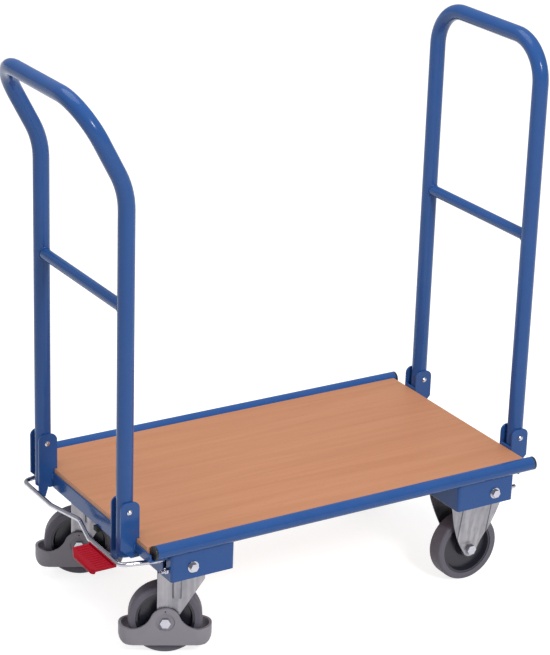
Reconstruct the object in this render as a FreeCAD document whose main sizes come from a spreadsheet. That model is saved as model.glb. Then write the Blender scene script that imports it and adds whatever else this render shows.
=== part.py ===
import FreeCAD, Part
import math
import os
import re
import Sketcher

# Folding platform trolley with two folding handles, two fixed and two braked swivel castors.
# X runs from the push handle (negative) to the front handle, Y across, Z up from the floor.

SIZES = [
    ("tube_d", 28, "handle tube, outside"),
    ("tube_wall", 2, "handle tube, wall"),
    ("crossbar_d", 20, "handle crossbar, outside"),
    ("crossbar_wall", 1.5, "handle crossbar, wall"),
    ("handle_width", 303.4, "upright axis to upright axis, across"),
    ("upright_gap", 786, "push upright axis to front upright axis"),
    ("lean_height", 821, "height of the bend in the push handle"),
    ("grip_lean", 28, "degrees that the grip leans outwards"),
    ("grip_rise", 165, "bend to grip, along the lean"),
    ("lean_radius", 130, "bend radius of the lean"),
    ("corner_radius", 72, "bend radius of the handle corners"),
    ("front_height", 970, "height of the front handle's top bar"),
    ("crossbar_height", 626, "height of both crossbars"),
    ("push_rise", 49, "board's top to the push handle's pivot"),
    ("front_rise", 20, "board's top to the front handle's pivot"),
    ("push_tail", 82, "push handle tube below its pivot"),
    ("front_tail", 40, "front handle tube below its pivot"),
    ("weld_gap", 0.1, "room left at a coped weld"),
    ("cut_room", 1, "cutters past the faces that they cut"),
    ("run_fit", 0.05, "radial room of a running fit"),
    ("bolt_gap", 0.1, "radial room of a bolt in its hole"),
    ("deck_height", 232, "top of the board"),
    ("board_thick", 18, "board"),
    ("board_inset", 13, "push upright axis to the board's edge"),
    ("board_lip", 8, "board's edge that shows above the push end rail"),
    ("board_gap", 0.3, "room between the board and the steel"),
    ("rail_d", 24, "side rail, outside"),
    ("rail_wall", 2, "side rail, wall"),
    ("rail_spacing", 440, "side rail axis to side rail axis"),
    ("rail_setback", 21, "push upright axis to the rails' push end"),
    ("rail_short", 12, "rails' front end short of the front upright axis"),
    ("cap_lip", 4, "rail cap outside the rail"),
    ("cap_plug", 12, "rail cap inside the rail"),
    ("sheet_wall", 3, "folded sheet of the end rails and boxes"),
    ("end_rail_depth", 35, "end rails, below the board's top"),
    ("push_rail_lap", 2, "push end rail past the side rail axis"),
    ("front_rail_short", 4, "front end rail short of the castor boxes' outer sides"),
    ("web_short", 22, "its upright web short of that axis"),
    ("ledge_depth", 29, "end rail ledge under the board"),
    ("cheek_wall", 3.5, "hinge bracket sheet"),
    ("cheek_gap", 0.5, "room between tube and cheek"),
    ("stop_gap", 1, "room between tube and bracket back"),
    ("bracket_reach", 16, "pivot to the bracket's open side"),
    ("bracket_drop", 34, "board's top to the lower edge of the hinge brackets"),
    ("toe_drop", 50, "board's top to the end of the toe on the push brackets' inner cheeks"),
    ("toe_width", 12, "that toe's end"),
    ("toe_flare", 5, "toe wider at the cheek"),
    ("bracket_crown", 17, "pivot to the top of the bracket"),
    ("bracket_corner", 12, "rounded top corners of the bracket"),
    ("bracket_chamfer", 19, "cut lower outer corner of the brackets"),
    ("back_gap", 1.5, "room between folded tube and bracket back"),
    ("pivot_d", 8, "pivot bolt"),
    ("pivot_head_d", 10, "pivot bolt head"),
    ("pivot_head", 3, "pivot bolt head, thickness"),
    ("pivot_rim", 1, "straight rim of that head"),
    ("pivot_flat_d", 5, "flat top of that head"),
    ("bolt_d", 8, "castor fixing bolt"),
    ("bolt_flats", 13, "hex head and nut across flats"),
    ("bolt_head", 5.3, "hex head thickness"),
    ("nut_thick", 6.5, "nut thickness"),
    ("bolt_spare", 3, "bolt end past its nut"),
    ("washer_d", 20, "washer"),
    ("washer_thick", 1.6, "washer"),
    ("stud_d", 6, "bolt at the box's end"),
    ("stud_flats", 10, "its head and nut across flats"),
    ("stud_head", 4, "its head"),
    ("stud_nut", 5, "its nut"),
    ("stud_spare", 8, "its end past the nut"),
    ("push_box_inset", 51, "push upright axis to the near end of its castor boxes"),
    ("front_box_inset", 48, "front upright axis to the near end of its castor boxes"),
    ("castor_spacing", 320, "castor axis to castor axis, across"),
    ("box_length", 118, "castor box along the trolley"),
    ("box_depth", 120, "castor box across the trolley"),
    ("box_bottom", 164, "underside of the castor boxes"),
    ("box_corner", 5, "rounded corners of the castor boxes"),
    ("angle_wall", 4, "angle inside the box corner"),
    ("angle_long", 50, "angle leg along the trolley"),
    ("angle_short", 15, "angle leg across the trolley"),
    ("angle_room", 3, "angle above the box floor"),
    ("side_bolt_share", 0.42, "side bolt's height as a share of the box's"),
    ("end_bolt_share", 0.36, "end bolt's height as a share of the box's"),
    ("box_bolt_inset", 40, "side bolt from the box's outer end"),
    ("end_bolt_inset", 12, "end bolt from the box's outer side"),
    ("plate_thick", 3.5, "castor plate"),
    ("plate_length", 110, "castor plate along"),
    ("plate_width", 90, "castor plate across"),
    ("plate_bolt_along", 76, "plate bolt spacing along"),
    ("plate_bolt_across", 50, "plate bolt spacing across"),
    ("wheel_d", 125, "wheel"),
    ("tread_width", 32, "wheel tread"),
    ("tread_crown", 22, "flat part of the tread"),
    ("tread_round", 5, "radius of the tread's shoulders"),
    ("tread_tuck", 1, "tread's side drawn in at the core"),
    ("core_d", 100, "wheel core"),
    ("rim_width", 28, "core rim"),
    ("rim_thick", 4, "core rim, radial"),
    ("web_thick", 9, "core web"),
    ("core_slope", 3, "sloped step at the hub and rim"),
    ("hub_d", 32, "core hub"),
    ("hub_width", 39, "core hub"),
    ("axle_d", 10, "axle bolt"),
    ("axle_flats", 16, "axle bolt head across flats"),
    ("axle_head", 6.4, "axle bolt head thickness"),
    ("hub_gap", 0.5, "room between hub and fork"),
    ("fork_wall", 3, "fork leg"),
    ("fork_tip", 14, "fork leg's round end"),
    ("fork_step", 1.4, "pressed-in panels of the fork legs"),
    ("fork_spread", 37, "middle to the outside of the fixed fork's legs, at the top"),
    ("joggle_top", 150, "where those legs start to close in"),
    ("joggle_low", 76, "where they stand upright again"),
    ("fixed_lead", 1, "fixed castor's axle in front of its plate's middle"),
    ("crease_back", 30, "axle to the panel at the push side of those legs"),
    ("crease_middle", 14, "axle to the second panel"),
    ("crease_front", 31, "axle to the far side of that panel"),
    ("fork_bulge", 300, "curve of the fixed fork's edges"),
    ("wing_start", 11, "axle to the wing of the swivel fork's legs"),
    ("bead_proud", 4, "pressed upright rib on that wing, outside the leg"),
    ("bead_d", 16, "that rib's round"),
    ("bead_low", 106, "lower end of that rib"),
    ("fork_back", 54, "fixed fork leg's top, push side of the axle"),
    ("fork_front", 51, "fixed fork leg's top, front side of the axle"),
    ("trail", 32, "swivel axis to axle"),
    ("swivel_angle", 28, "degrees that the swivel castors are turned"),
    ("crown_top", 152.5, "top of the swivel fork"),
    ("crown_thick", 4, "swivel fork's crown"),
    ("crown_front", 33, "swivel axis to the front of the crown"),
    ("crown_drop", 10, "depth of the crown's front edge"),
    ("race_d", 60, "race ring under the plate"),
    ("race_bore", 44, "race ring's bore"),
    ("race_gap", 0.5, "room between race ring and crown"),
    ("king_d", 18, "king pin"),
    ("king_flange_d", 30, "king pin flange"),
    ("king_flange", 4.5, "king pin flange thickness"),
    ("king_gap", 0.3, "room between flange and crown"),
    ("guard_length", 157, "foot guard"),
    ("guard_wall", 4.5, "foot guard"),
    ("guard_gap", 0.3, "room between guard and fork"),
    ("guard_bottom", 20, "lower edge of the guard"),
    ("guard_band", 29, "height of the guard's band where it is lowest"),
    ("guard_end_rise", 1.5, "guard's ends above that"),
    ("guard_keel", 14, "rounded lower corners of the guard's ends"),
    ("guard_dish_d", 32, "round recess for the axle bolt"),
    ("guard_dish", 2, "depth of that recess"),
    ("guard_pin_d", 3, "small hole above the axle"),
    ("guard_pin_rise", 20, "axle to that hole"),
    ("guard_dome", 26, "radius of the guard round the axle"),
    ("guard_curve", 36, "hollow curve between band and dome"),
    ("rod_d", 8, "bail wire"),
    ("bail_share", 0.64, "bail's height as a share of the castor box's"),
    ("bail_reach", 23.5, "push upright axis to the bail, outwards"),
    ("bail_width", 360, "bail corner to bail corner"),
    ("bail_spread", 392, "bail arm to bail arm in the boxes"),
    ("bail_elbow", 6, "bend in the arm, outside the box's end wall"),
    ("bail_corner", 15, "bend radius of the bail's corners"),
    ("bail_eye", 10, "bend radius at the bail's hinge ends"),
    ("bail_dip", 18, "middle of the bail, drawn in"),
    ("bail_dip_half", 72, "half length of the drawn-in stretch"),
    ("bail_dip_bend", 30, "bend radius of the drawn-in stretch"),
    ("bail_spare", 8, "hinge end past the box wall"),
    ("slot_room", 2, "room round the bail arm in the box wall"),
    ("slot_floor", 12, "box's underside to the slot for the bail arm"),
    ("slot_head", 7, "bail's axis to the top of that slot"),
    ("cam_lever", 19, "bail hinge to brake plunger"),
    ("cam_width", 12, "cam finger"),
    ("cam_hub_d", 16, "cam hub"),
    ("cam_tip_d", 10, "cam finger's round end"),
    ("cam_lift", 1, "finger end above the hinge"),
    ("cam_gap", 0.4, "room between finger and plunger"),
    ("plunger_d", 8, "brake plunger"),
    ("plunger_head_d", 14, "plunger head"),
    ("plunger_head", 3.6, "plunger head thickness"),
    ("plunger_hole_d", 10, "hole in the box floor"),
    ("shoe_d", 10, "brake shoe"),
    ("shoe_thick", 7, "brake shoe"),
    ("shoe_bottom", 122.8, "underside of the brake shoe"),
    ("pedal_start", 80, "centre line to the pedal's far end"),
    ("pedal_length", 90, "pedal across the trolley"),
    ("pedal_cradle_d", 11, "half round under the wire"),
    ("pedal_sink", 3.5, "wire's axis to the pedal's top"),
    ("pedal_depth", 42, "wire's axis to the lip's axis"),
    ("pedal_thick", 4, "pedal plate"),
    ("pedal_proud", 1, "lip above the plate"),
    ("pedal_lip", 4.5, "radius of the pedal's lip"),
    ("pedal_far_along", 12, "cut far corner of the pedal, along the trolley"),
    ("pedal_far_across", 28, "and across it"),
    ("pedal_near_cut", 7, "cut near corner"),
    ("stop_along", 12, "stop block"),
    ("stop_across", 13, "stop block"),
    ("stop_tall", 9, "stop block"),
    ("stop_place", 36, "centre line to the stop block"),
]

FORMULAS = [
    ("push_x", "=(grip_rise * sin(grip_lean) + tube_d / 2 - upright_gap - bracket_reach) / 2",
     "push upright axis, with the part's middle at zero"),
    ("front_x", "=push_x + upright_gap", "front upright axis"),
    ("handle_y", "=handle_width / 2", "upright axis"),
    ("frame_top", "=deck_height - board_thick", "plane that carries board and rails"),
    ("end_rail_bottom", "=deck_height - end_rail_depth", "lower edge of the end rails"),
    ("bracket_bottom", "=deck_height - bracket_drop", "lower edge of the hinge brackets"),
    ("toe_bottom", "=deck_height - toe_drop", "end of the push brackets' toes"),
    ("push_pivot", "=deck_height + push_rise", "push handle's pivot"),
    ("front_pivot", "=deck_height + front_rise", "front handle's pivot"),
    ("rail_y", "=rail_spacing / 2", "side rail axis"),
    ("rail_z", "=frame_top + rail_d / 2", "side rail axis"),
    ("bracket_half", "=tube_d / 2 + stop_gap + cheek_wall", "upright axis to the bracket's back"),
    ("bracket_out", "=tube_d / 2 + cheek_gap + cheek_wall", "upright axis to the cheek's outside"),
    ("board_push", "=push_x + board_inset", "board's edge at the push end"),
    ("board_front", "=front_x - bracket_half - board_gap", "board's edge at the front end"),
    ("board_side", "=rail_y - rail_d / 2 - board_gap", "board's long edge"),
    ("castor_y", "=castor_spacing / 2", "castor axis"),
    ("push_castor", "=push_x + push_box_inset + box_length / 2", "swivel castor axis"),
    ("front_castor", "=front_x - front_box_inset - box_length / 2", "fixed castor axis"),
    ("box_tall", "=frame_top - box_bottom", "castor box"),
    ("side_bolt_height", "=box_bottom + side_bolt_share * box_tall", "side bolts"),
    ("end_bolt_height", "=box_bottom + end_bolt_share * box_tall", "end bolts"),
    ("bail_height", "=box_bottom + bail_share * box_tall", "bail"),
    ("plate_bottom", "=box_bottom - plate_thick", "underside of the castor plates"),
    ("wheel_r", "=wheel_d / 2", "axle height"),
    ("fork_in", "=hub_width / 2 + hub_gap", "inside of the fork legs"),
    ("fork_out", "=fork_in + fork_wall", "outside of the fork legs"),
    ("crown_bottom", "=crown_top - crown_thick", "underside of the swivel fork's crown"),
    ("king_top", "=crown_bottom - king_gap", "top of the king pin's flange"),
    ("guard_in", "=fork_out + guard_gap", "inside of the guard"),
    ("guard_out", "=guard_in + guard_wall", "outside of the guard"),
    ("band_top", "=guard_bottom + guard_band", "top of the guard's end band"),
    ("curve_rise", "=band_top + guard_curve - wheel_r", "hollow curve's centre above the axle"),
    ("curve_reach", "=sqrt((guard_dome + guard_curve)^2 - curve_rise^2)", "hollow curve's centre, along"),
    ("dome_share", "=guard_dome / (guard_dome + guard_curve)", "where dome and hollow curve meet"),
    ("hinge_x", "=push_castor + cam_lever", "bail hinge axis"),
    ("bail_x", "=push_x - bail_reach", "bail's long run"),
    ("bail_y", "=bail_width / 2", "bail arm"),
    ("tip_bottom", "=bail_height + cam_lift - cam_tip_d / 2", "underside of the cam finger's end"),
    ("plunger_top", "=tip_bottom - cam_gap", "top of the brake plunger"),
]

ALIASES = {alias for alias, value, note in SIZES + FORMULAS}
SIDES = {"a": -1, "b": 1}
V = FreeCAD.Vector
AXIS_TURN = {
    "x": FreeCAD.Rotation(V(0, 1, 0), 90),
    "y": FreeCAD.Rotation(V(1, 0, 0), -90),
    "z": FreeCAD.Rotation(),
    "-x": FreeCAD.Rotation(V(0, 1, 0), -90),
    "-y": FreeCAD.Rotation(V(1, 0, 0), 90),
    "-z": FreeCAD.Rotation(V(1, 0, 0), 180),
}

doc = FreeCAD.newDocument("PlatformTrolley")
sheet = doc.addObject("Spreadsheet::Sheet", "Sizes")
for row, (alias, value, note) in enumerate(SIZES + FORMULAS, start=1):
    sheet.set(f"A{row}", note)
    sheet.set(f"B{row}", str(value))
    sheet.setAlias(f"B{row}", alias)
doc.recompute()

nodes = {}


# Helpers that bind sizes

def full(formula):
    """The formula with the sheet's name before each of its aliases."""
    def name(word):
        return "Sizes." + word[0] if word[0] in ALIASES else word[0]
    return re.sub(r"[a-z_]+", name, str(formula))


def number(formula):
    value = sheet.evalExpression(full(formula))
    return float(getattr(value, "Value", value))


def bind(thing, path, formula):
    thing.setExpression(path, full(formula))


def place(thing, x=0, y=0, z=0, rotation=None):
    thing.Placement = FreeCAD.Placement(V(0, 0, 0), rotation or FreeCAD.Rotation())
    for axis, formula in zip("xyz", (x, y, z)):
        bind(thing, "Placement.Base." + axis, formula)
    return thing


def keep(name, thing):
    thing.Label = name
    nodes[name] = thing
    return thing


# Helpers for solids made of primitives

def rod(name, radius, length, x=0, y=0, z=0, axis="z"):
    thing = doc.addObject("Part::Cylinder", name)
    bind(thing, "Radius", radius)
    bind(thing, "Height", length)
    return place(thing, x, y, z, AXIS_TURN[axis])


def block(name, length, width, height, x=0, y=0, z=0):
    thing = doc.addObject("Part::Box", name)
    bind(thing, "Length", length)
    bind(thing, "Width", width)
    bind(thing, "Height", height)
    return place(thing, x, y, z)


def hexagon(name, flats, height, z=0):
    thing = doc.addObject("Part::Prism", name)
    thing.Polygon = 6
    bind(thing, "Circumradius", f"({flats}) / sqrt(3)")
    bind(thing, "Height", height)
    return place(thing, 0, 0, z)


def bend(name, ring, tube, angle, x, y, z, rotation):
    thing = doc.addObject("Part::Torus", name)
    bind(thing, "Radius1", ring)
    bind(thing, "Radius2", tube)
    bind(thing, "Angle3", angle)
    return place(thing, x, y, z, rotation)


def fuse(name, things):
    thing = doc.addObject("Part::MultiFuse", name)
    thing.Shapes = things
    return thing


def cut(name, base, tool):
    thing = doc.addObject("Part::Cut", name)
    thing.Base = base
    thing.Tool = tool
    return thing


def group(name, things):
    thing = doc.addObject("Part::Compound", name)
    thing.Links = things
    return keep(name, thing)


# Helpers for sketched bodies

def new_body(name):
    return doc.addObject("PartDesign::Body", name)


def attach(body, name, plane, shift=(0, 0, 0)):
    sketch = body.newObject("Sketcher::SketchObject", name)
    support = next(item for item in body.Origin.OriginFeatures if item.Role == plane)
    sketch.AttachmentSupport = (support, "")
    sketch.MapMode = "FlatFace"
    for axis, formula in zip("xyz", shift):
        bind(sketch, "AttachmentOffset.Base." + axis, formula)
    return sketch


def hold(sketch, kind, formula, *geometry):
    index = sketch.addConstraint(Sketcher.Constraint(kind, *geometry, number(formula)))
    bind(sketch, f"Constraints[{index}]", formula)


def hold_point(sketch, edge, end, x, y):
    hold(sketch, "DistanceX", x, -1, 1, edge, end)
    hold(sketch, "DistanceY", y, -1, 1, edge, end)


def arc_between(start, finish, radius, side):
    """Arc shorter than a half circle, with its centre left of the way (side 1) or right of it (side -1)."""
    chord = finish - start
    rise = math.sqrt(max(radius ** 2 - (chord.Length / 2) ** 2, 0))
    centre = (start + finish) / 2 + V(-chord.y, chord.x, 0).normalize() * rise * side
    first, last = (start, finish) if side > 0 else (finish, start)
    angles = [math.atan2(spot.y - centre.y, spot.x - centre.x) for spot in (first, last)]
    if angles[1] < angles[0]:
        angles[1] += 2 * math.pi
    return Part.ArcOfCircle(Part.Circle(centre, V(0, 0, 1), radius), *angles)


def outline(sketch, path):
    """Closed outline. Each corner is x, y and, where an arc leaves it, the arc's radius and side."""
    spots = [V(number(corner[0]), number(corner[1]), 0) for corner in path]
    edges = []
    for index, corner in enumerate(path):
        start, finish = spots[index], spots[(index + 1) % len(path)]
        if len(corner) == 2:
            edges.append((sketch.addGeometry(Part.LineSegment(start, finish)), 1, 2))
            continue
        radius, side = corner[2:]
        edge = sketch.addGeometry(arc_between(start, finish, number(radius), side))
        hold(sketch, "Radius", radius, edge)
        edges.append((edge, 1, 2) if side > 0 else (edge, 2, 1))
    for index, (edge, first, last) in enumerate(edges):
        following = edges[(index + 1) % len(edges)]
        sketch.addConstraint(Sketcher.Constraint("Coincident", edge, last, following[0], following[1]))
        hold_point(sketch, edge, first, *path[index][:2])
    return sketch


def rectangle(sketch, left, right, low, high):
    return outline(sketch, [(left, low), (right, low), (right, high), (left, high)])


def rings(sketch, circles):
    for x, y, radius in circles:
        edge = sketch.addGeometry(Part.Circle(V(number(x), number(y), 0), V(0, 0, 1), number(radius)))
        hold_point(sketch, edge, 3, x, y)
        hold(sketch, "Radius", radius, edge)
    return sketch


def feature(body, kind, sketch, length=None, symmetric=False, back=False):
    """Pad or Pocket of the sketch; a Pocket with no length goes right through, both ways."""
    thing = body.newObject("PartDesign::" + kind, sketch.Name + "_" + kind)
    thing.Profile = sketch
    if length is None:
        thing.Type = "ThroughAll"
    else:
        bind(thing, "Length", length)
    if symmetric or length is None:
        thing.SideType = "Symmetric"
    thing.Reversed = back
    return thing


def revolve(body, sketch, axis):
    thing = body.newObject("PartDesign::Revolution", sketch.Name + "_turned")
    thing.Profile = sketch
    thing.ReferenceAxis = (sketch, [axis])
    return thing


def round_edges(body, base, chosen, radius):
    """Fillet on the edges of the base feature that the test picks."""
    doc.recompute()
    names = [f"Edge{index}" for index, edge in enumerate(base.Shape.Edges, start=1) if chosen(edge)]
    thing = body.newObject("PartDesign::Fillet", base.Name + "_round")
    thing.Base = (base, names)
    bind(thing, "Radius", radius)
    return thing


def upright(edge):
    return edge.Curve.TypeId == "Part::GeomLine" and abs(edge.tangentAt(edge.FirstParameter).z) > 0.999


def touch_points(centre_x, centre_y, radius, x, y, side):
    """Formulas for the point where a line from x, y touches a circle, on the side given."""
    across, up = f"(({x}) - ({centre_x}))", f"(({y}) - ({centre_y}))"
    square = f"({across}^2 + {up}^2)"
    root = f"({radius}) * sqrt({square} - ({radius})^2)"
    touch_x = f"{centre_x} + (({radius})^2 * {across} - ({side}) * {root} * {up}) / {square}"
    touch_y = f"{centre_y} + (({radius})^2 * {up} + ({side}) * {root} * {across}) / {square}"
    return touch_x, touch_y


# Deck frame

def deck_board():
    body = new_body("deck_board")
    notch = "push_x + bracket_half + board_gap"
    low, high = "handle_y - bracket_out - board_gap", "handle_y + bracket_out + board_gap"
    path = [("board_front", "-board_side"), ("board_front", "board_side"), ("board_push", "board_side")]
    path += [("board_push", high), (notch, high), (notch, low), ("board_push", low)]
    path += [("board_push", f"-({low})"), (notch, f"-({low})"), (notch, f"-({high})")]
    path += [("board_push", f"-({high})"), ("board_push", "-board_side")]
    plan = outline(attach(body, "board_outline", "XY_Plane", (0, 0, "frame_top")), path)
    feature(body, "Pad", plan, "board_thick")
    keep("deck_board", body)


def side_rails():
    caps = []
    start, length = "push_x + rail_setback", "upright_gap - rail_short - rail_setback"
    for side, sign in SIDES.items():
        place_at = (f"{sign} * rail_y", "rail_z", "x")
        outside = rod(f"rail_out_{side}", "rail_d / 2", length, start, *place_at)
        bore = rod(f"rail_bore_{side}", "rail_d / 2 - rail_wall", length, start, *place_at)
        keep(f"side_rail_{side}", cut(f"side_rail_{side}", outside, bore))
        for end, x, way in (("push", start, -1), ("front", f"{start} + {length}", 1)):
            axis = "x" if way > 0 else "-x"
            lip = rod(f"cap_lip_{end}_{side}", "rail_d / 2", "cap_lip", x, *place_at[:2], axis)
            inward = "-x" if way > 0 else "x"
            plug_r = "rail_d / 2 - rail_wall - bolt_gap"
            plug = rod(f"cap_plug_{end}_{side}", plug_r, "cap_plug", x, *place_at[:2], inward)
            caps.append(fuse(f"cap_{end}_{side}", [lip, plug]))
    group("rail_caps", caps)


def end_rails():
    width = "2 * (rail_y + push_rail_lap)"
    body = new_body("push_end_rail")
    web, edge, ledge = "board_push - sheet_wall", "board_push", "board_push + ledge_depth"
    shelf, rim = "frame_top - sheet_wall", "deck_height - board_lip"
    path = [(web, "end_rail_bottom"), (edge, "end_rail_bottom"), (edge, shelf), (ledge, shelf)]
    path += [(ledge, "frame_top"), (edge, "frame_top"), (edge, rim), (web, rim)]
    feature(body, "Pad", outline(attach(body, "push_rail_section", "XZ_Plane"), path), width, True)
    for side, sign in SIDES.items():
        sketch = attach(body, f"push_rail_notch_{side}", "XY_Plane")
        near, far = f"{sign} * handle_y - bracket_out", f"{sign} * handle_y + bracket_out"
        rectangle(sketch, "board_push - ledge_depth", "push_x + bracket_half", near, far)
        feature(body, "Pocket", sketch)
        trim_web(body, f"push_rail_trim_{side}", sign, web, edge, "handle_y + bracket_out")
    keep("push_end_rail", body)

    body = new_body("front_end_rail")
    back = "front_x - bracket_half"
    path = [(f"{back} - sheet_wall", "end_rail_bottom"), (back, "end_rail_bottom"), (back, "frame_top")]
    path += [(f"{back} - ledge_depth", "frame_top"), (f"{back} - ledge_depth", shelf)]
    path += [(f"{back} - sheet_wall", shelf)]
    width = "2 * (castor_y + box_depth / 2 - front_rail_short)"
    feature(body, "Pad", outline(attach(body, "front_rail_section", "XZ_Plane"), path), width, True)
    for side, sign in SIDES.items():
        trim_web(body, f"front_rail_trim_{side}", sign, f"{back} - sheet_wall", back, "rail_y - web_short")
    keep("front_end_rail", body)


def trim_web(body, name, sign, start, end, y):
    """Cut an end rail's web away below its ledge, from y outwards."""
    shelf = "frame_top - sheet_wall"
    sketch = attach(body, name, "XY_Plane", (0, 0, shelf))
    past = f"{sign} * (rail_y + rail_d)"
    rectangle(sketch, f"{start} - cut_room", f"{end} + cut_room", f"{sign} * ({y})", past)
    feature(body, "Pocket", sketch, f"{shelf} - end_rail_bottom + cut_room")


def hinge_bracket(name, x, side, pivot, turn, toed):
    """Folded channel, open on its outer side, with a back that stops the upright, and a toe on a toed one."""
    body = new_body(name)
    outer, back, top = "-bracket_reach", "bracket_half", f"{pivot} + bracket_crown"
    low = "bracket_bottom"
    path = [(outer, f"{low} + bracket_chamfer"), (f"{outer} + bracket_chamfer", low), (back, low)]
    path += [(back, f"{top} - bracket_corner", "bracket_corner", 1), (f"{back} - bracket_corner", top)]
    path += [(f"{outer} + bracket_corner", top, "bracket_corner", 1), (outer, f"{top} - bracket_corner")]
    feature(body, "Pad", outline(attach(body, name + "_cheek", "XZ_Plane"), path), "2 * bracket_out", True)
    inside = f"{back} - cheek_wall"
    back_top = f"{pivot} - tube_d / 2 - back_gap"
    past_out, past_back = f"{outer} - cut_room", f"{back} + cut_room"
    past_low, past_top = f"{low} - cut_room", f"{top} + cut_room"
    path = [(past_out, past_low), (inside, past_low), (inside, back_top)]
    path += [(past_back, back_top), (past_back, past_top), (past_out, past_top)]
    hollow = outline(attach(body, name + "_hollow", "XZ_Plane"), path)
    feature(body, "Pocket", hollow, "2 * (bracket_out - cheek_wall)", True)
    if toed:
        start = "-bracket_out" if SIDES[side] < 0 else "bracket_out - cheek_wall"
        toe, root = f"{outer} + toe_width", f"{low} + bracket_chamfer + toe_flare"
        path = [(outer, "toe_bottom"), (toe, "toe_bottom"), (f"{toe} + toe_flare", low)]
        path += [(f"{toe} + toe_flare", root), (outer, root)]
        sketch = attach(body, name + "_toe", "XZ_Plane", (0, 0, start))
        feature(body, "Pad", outline(sketch, path), "cheek_wall")
    hole = rings(attach(body, name + "_hole", "XZ_Plane"), [(0, pivot, "pivot_d / 2 + bolt_gap")])
    feature(body, "Pocket", hole)
    place(body, x, f"{SIDES[side]} * handle_y", 0, FreeCAD.Rotation(V(0, 0, 1), turn))
    keep(name, body)


def pivot_bolts():
    bolts = []
    nuts = []
    for end, x, pivot in (("push", "push_x", "push_pivot"), ("front", "front_x", "front_pivot")):
        for side, sign in SIDES.items():
            name = f"pivot_{end}_{side}"
            body = new_body(name)
            sketch = attach(body, name + "_half", "YZ_Plane")
            head_r, end_y = "pivot_head_d / 2", "bracket_out + nut_thick + bolt_spare"
            path = [("-bracket_out - pivot_head", 0), (end_y, 0), (end_y, "pivot_d / 2")]
            path += [("-bracket_out", "pivot_d / 2"), ("-bracket_out", head_r)]
            path += [("-bracket_out - pivot_rim", head_r)]
            path += [("-bracket_out - pivot_head", "pivot_flat_d / 2")]
            revolve(body, outline(sketch, path), "H_Axis")
            bolts.append(place(body, x, f"{sign} * handle_y", pivot))
            nut = cut(name + "_nut", hexagon(name + "_hex", "bolt_flats", "nut_thick"),
                      rod(name + "_thread", "pivot_d / 2 + bolt_gap", "nut_thick"))
            nuts.append(place(nut, x, f"{sign} * handle_y + bracket_out", pivot, AXIS_TURN["y"]))
    group("pivot_bolts", bolts)
    group("pivot_nuts", nuts)


# Handles

def arch(name, radius, leg):
    """Two legs, two corner bends and a top bar, standing on Z zero in the plane across the trolley."""
    corner = FreeCAD.Rotation(V(1, 1, 1), 120)
    quarter = FreeCAD.Rotation(V(1, 0, 0), 90)
    top = f"{leg} - corner_radius"
    bar_start = "corner_radius - handle_y"
    pieces = [rod(f"{name}_bar", radius, f"-2 * ({bar_start})", 0, bar_start, leg, "y")]
    for side, sign in SIDES.items():
        pieces.append(rod(f"{name}_leg_{side}", radius, top, 0, f"{sign} * handle_y", 0))
        turn = corner if sign > 0 else quarter.multiply(corner)
        spot = (0, f"{sign} * (handle_y - corner_radius)", top)
        pieces.append(bend(f"{name}_corner_{side}", "corner_radius", radius, 90, *spot, turn))
    return fuse(name, pieces)


def pivot_bores(name, pivot):
    start = "-handle_y - tube_d"
    return rod(name, "pivot_d / 2 + run_fit", f"-2 * ({start})", 0, start, pivot, "y")


def crossbar(name, x):
    length = "handle_width"
    start = ("-handle_y", "crossbar_height", "y")
    outside = rod(name + "_out", "crossbar_d / 2", length, 0, *start)
    bore = rod(name + "_bore", "crossbar_d / 2 - crossbar_wall", length, 0, *start)
    copes = []
    for side, sign in SIDES.items():
        spot = (0, f"{sign} * handle_y", "crossbar_height - crossbar_d")
        copes.append(rod(f"{name}_cope_{side}", "tube_d / 2 + weld_gap", "2 * crossbar_d", *spot))
    keep(name, place(cut(name, outside, fuse(name + "_away", [bore] + copes)), x))


def push_tube_solid(name, radius):
    """Uprights, the bends that lean outwards and the grip arch, all of one radius."""
    foot = "push_pivot - push_tail"
    tangent = "lean_radius * tan(grip_lean / 2)"
    bend_start = f"lean_height - {tangent}"
    pieces = []
    for side, sign in SIDES.items():
        y = f"{sign} * handle_y"
        pieces.append(rod(f"{name}_upright_{side}", radius, f"{bend_start} - ({foot})", 0, y, foot))
        spot = ("-lean_radius", y, bend_start)
        turn = FreeCAD.Rotation(V(1, 0, 0), 90)
        pieces.append(bend(f"{name}_lean_{side}", "lean_radius", radius, "grip_lean", *spot, turn))
    grip = arch(name + "_grip", radius, f"grip_rise - {tangent}")
    lean = FreeCAD.Rotation(V(0, 1, 0), -number("grip_lean"))
    place(grip, "lean_radius * (cos(grip_lean) - 1)", 0, f"{bend_start} + lean_radius * sin(grip_lean)", lean)
    return fuse(name, pieces + [grip])


def push_handle():
    outside = push_tube_solid("push_out", "tube_d / 2")
    inside = push_tube_solid("push_in", "tube_d / 2 - tube_wall")
    away = fuse("push_away", [inside, pivot_bores("push_bores", "push_pivot")])
    keep("push_tube", place(cut("push_tube", outside, away), "push_x"))
    crossbar("push_crossbar", "push_x")


def front_handle():
    foot = "front_pivot - front_tail"
    leg = f"front_height - ({foot})"
    outside = place(arch("front_out", "tube_d / 2", leg), 0, 0, foot)
    inside = place(arch("front_in", "tube_d / 2 - tube_wall", leg), 0, 0, foot)
    away = fuse("front_away", [inside, pivot_bores("front_bores", "front_pivot")])
    keep("front_tube", place(cut("front_tube", outside, away), "front_x"))
    crossbar("front_crossbar", "front_x")


# Castor boxes

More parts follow.
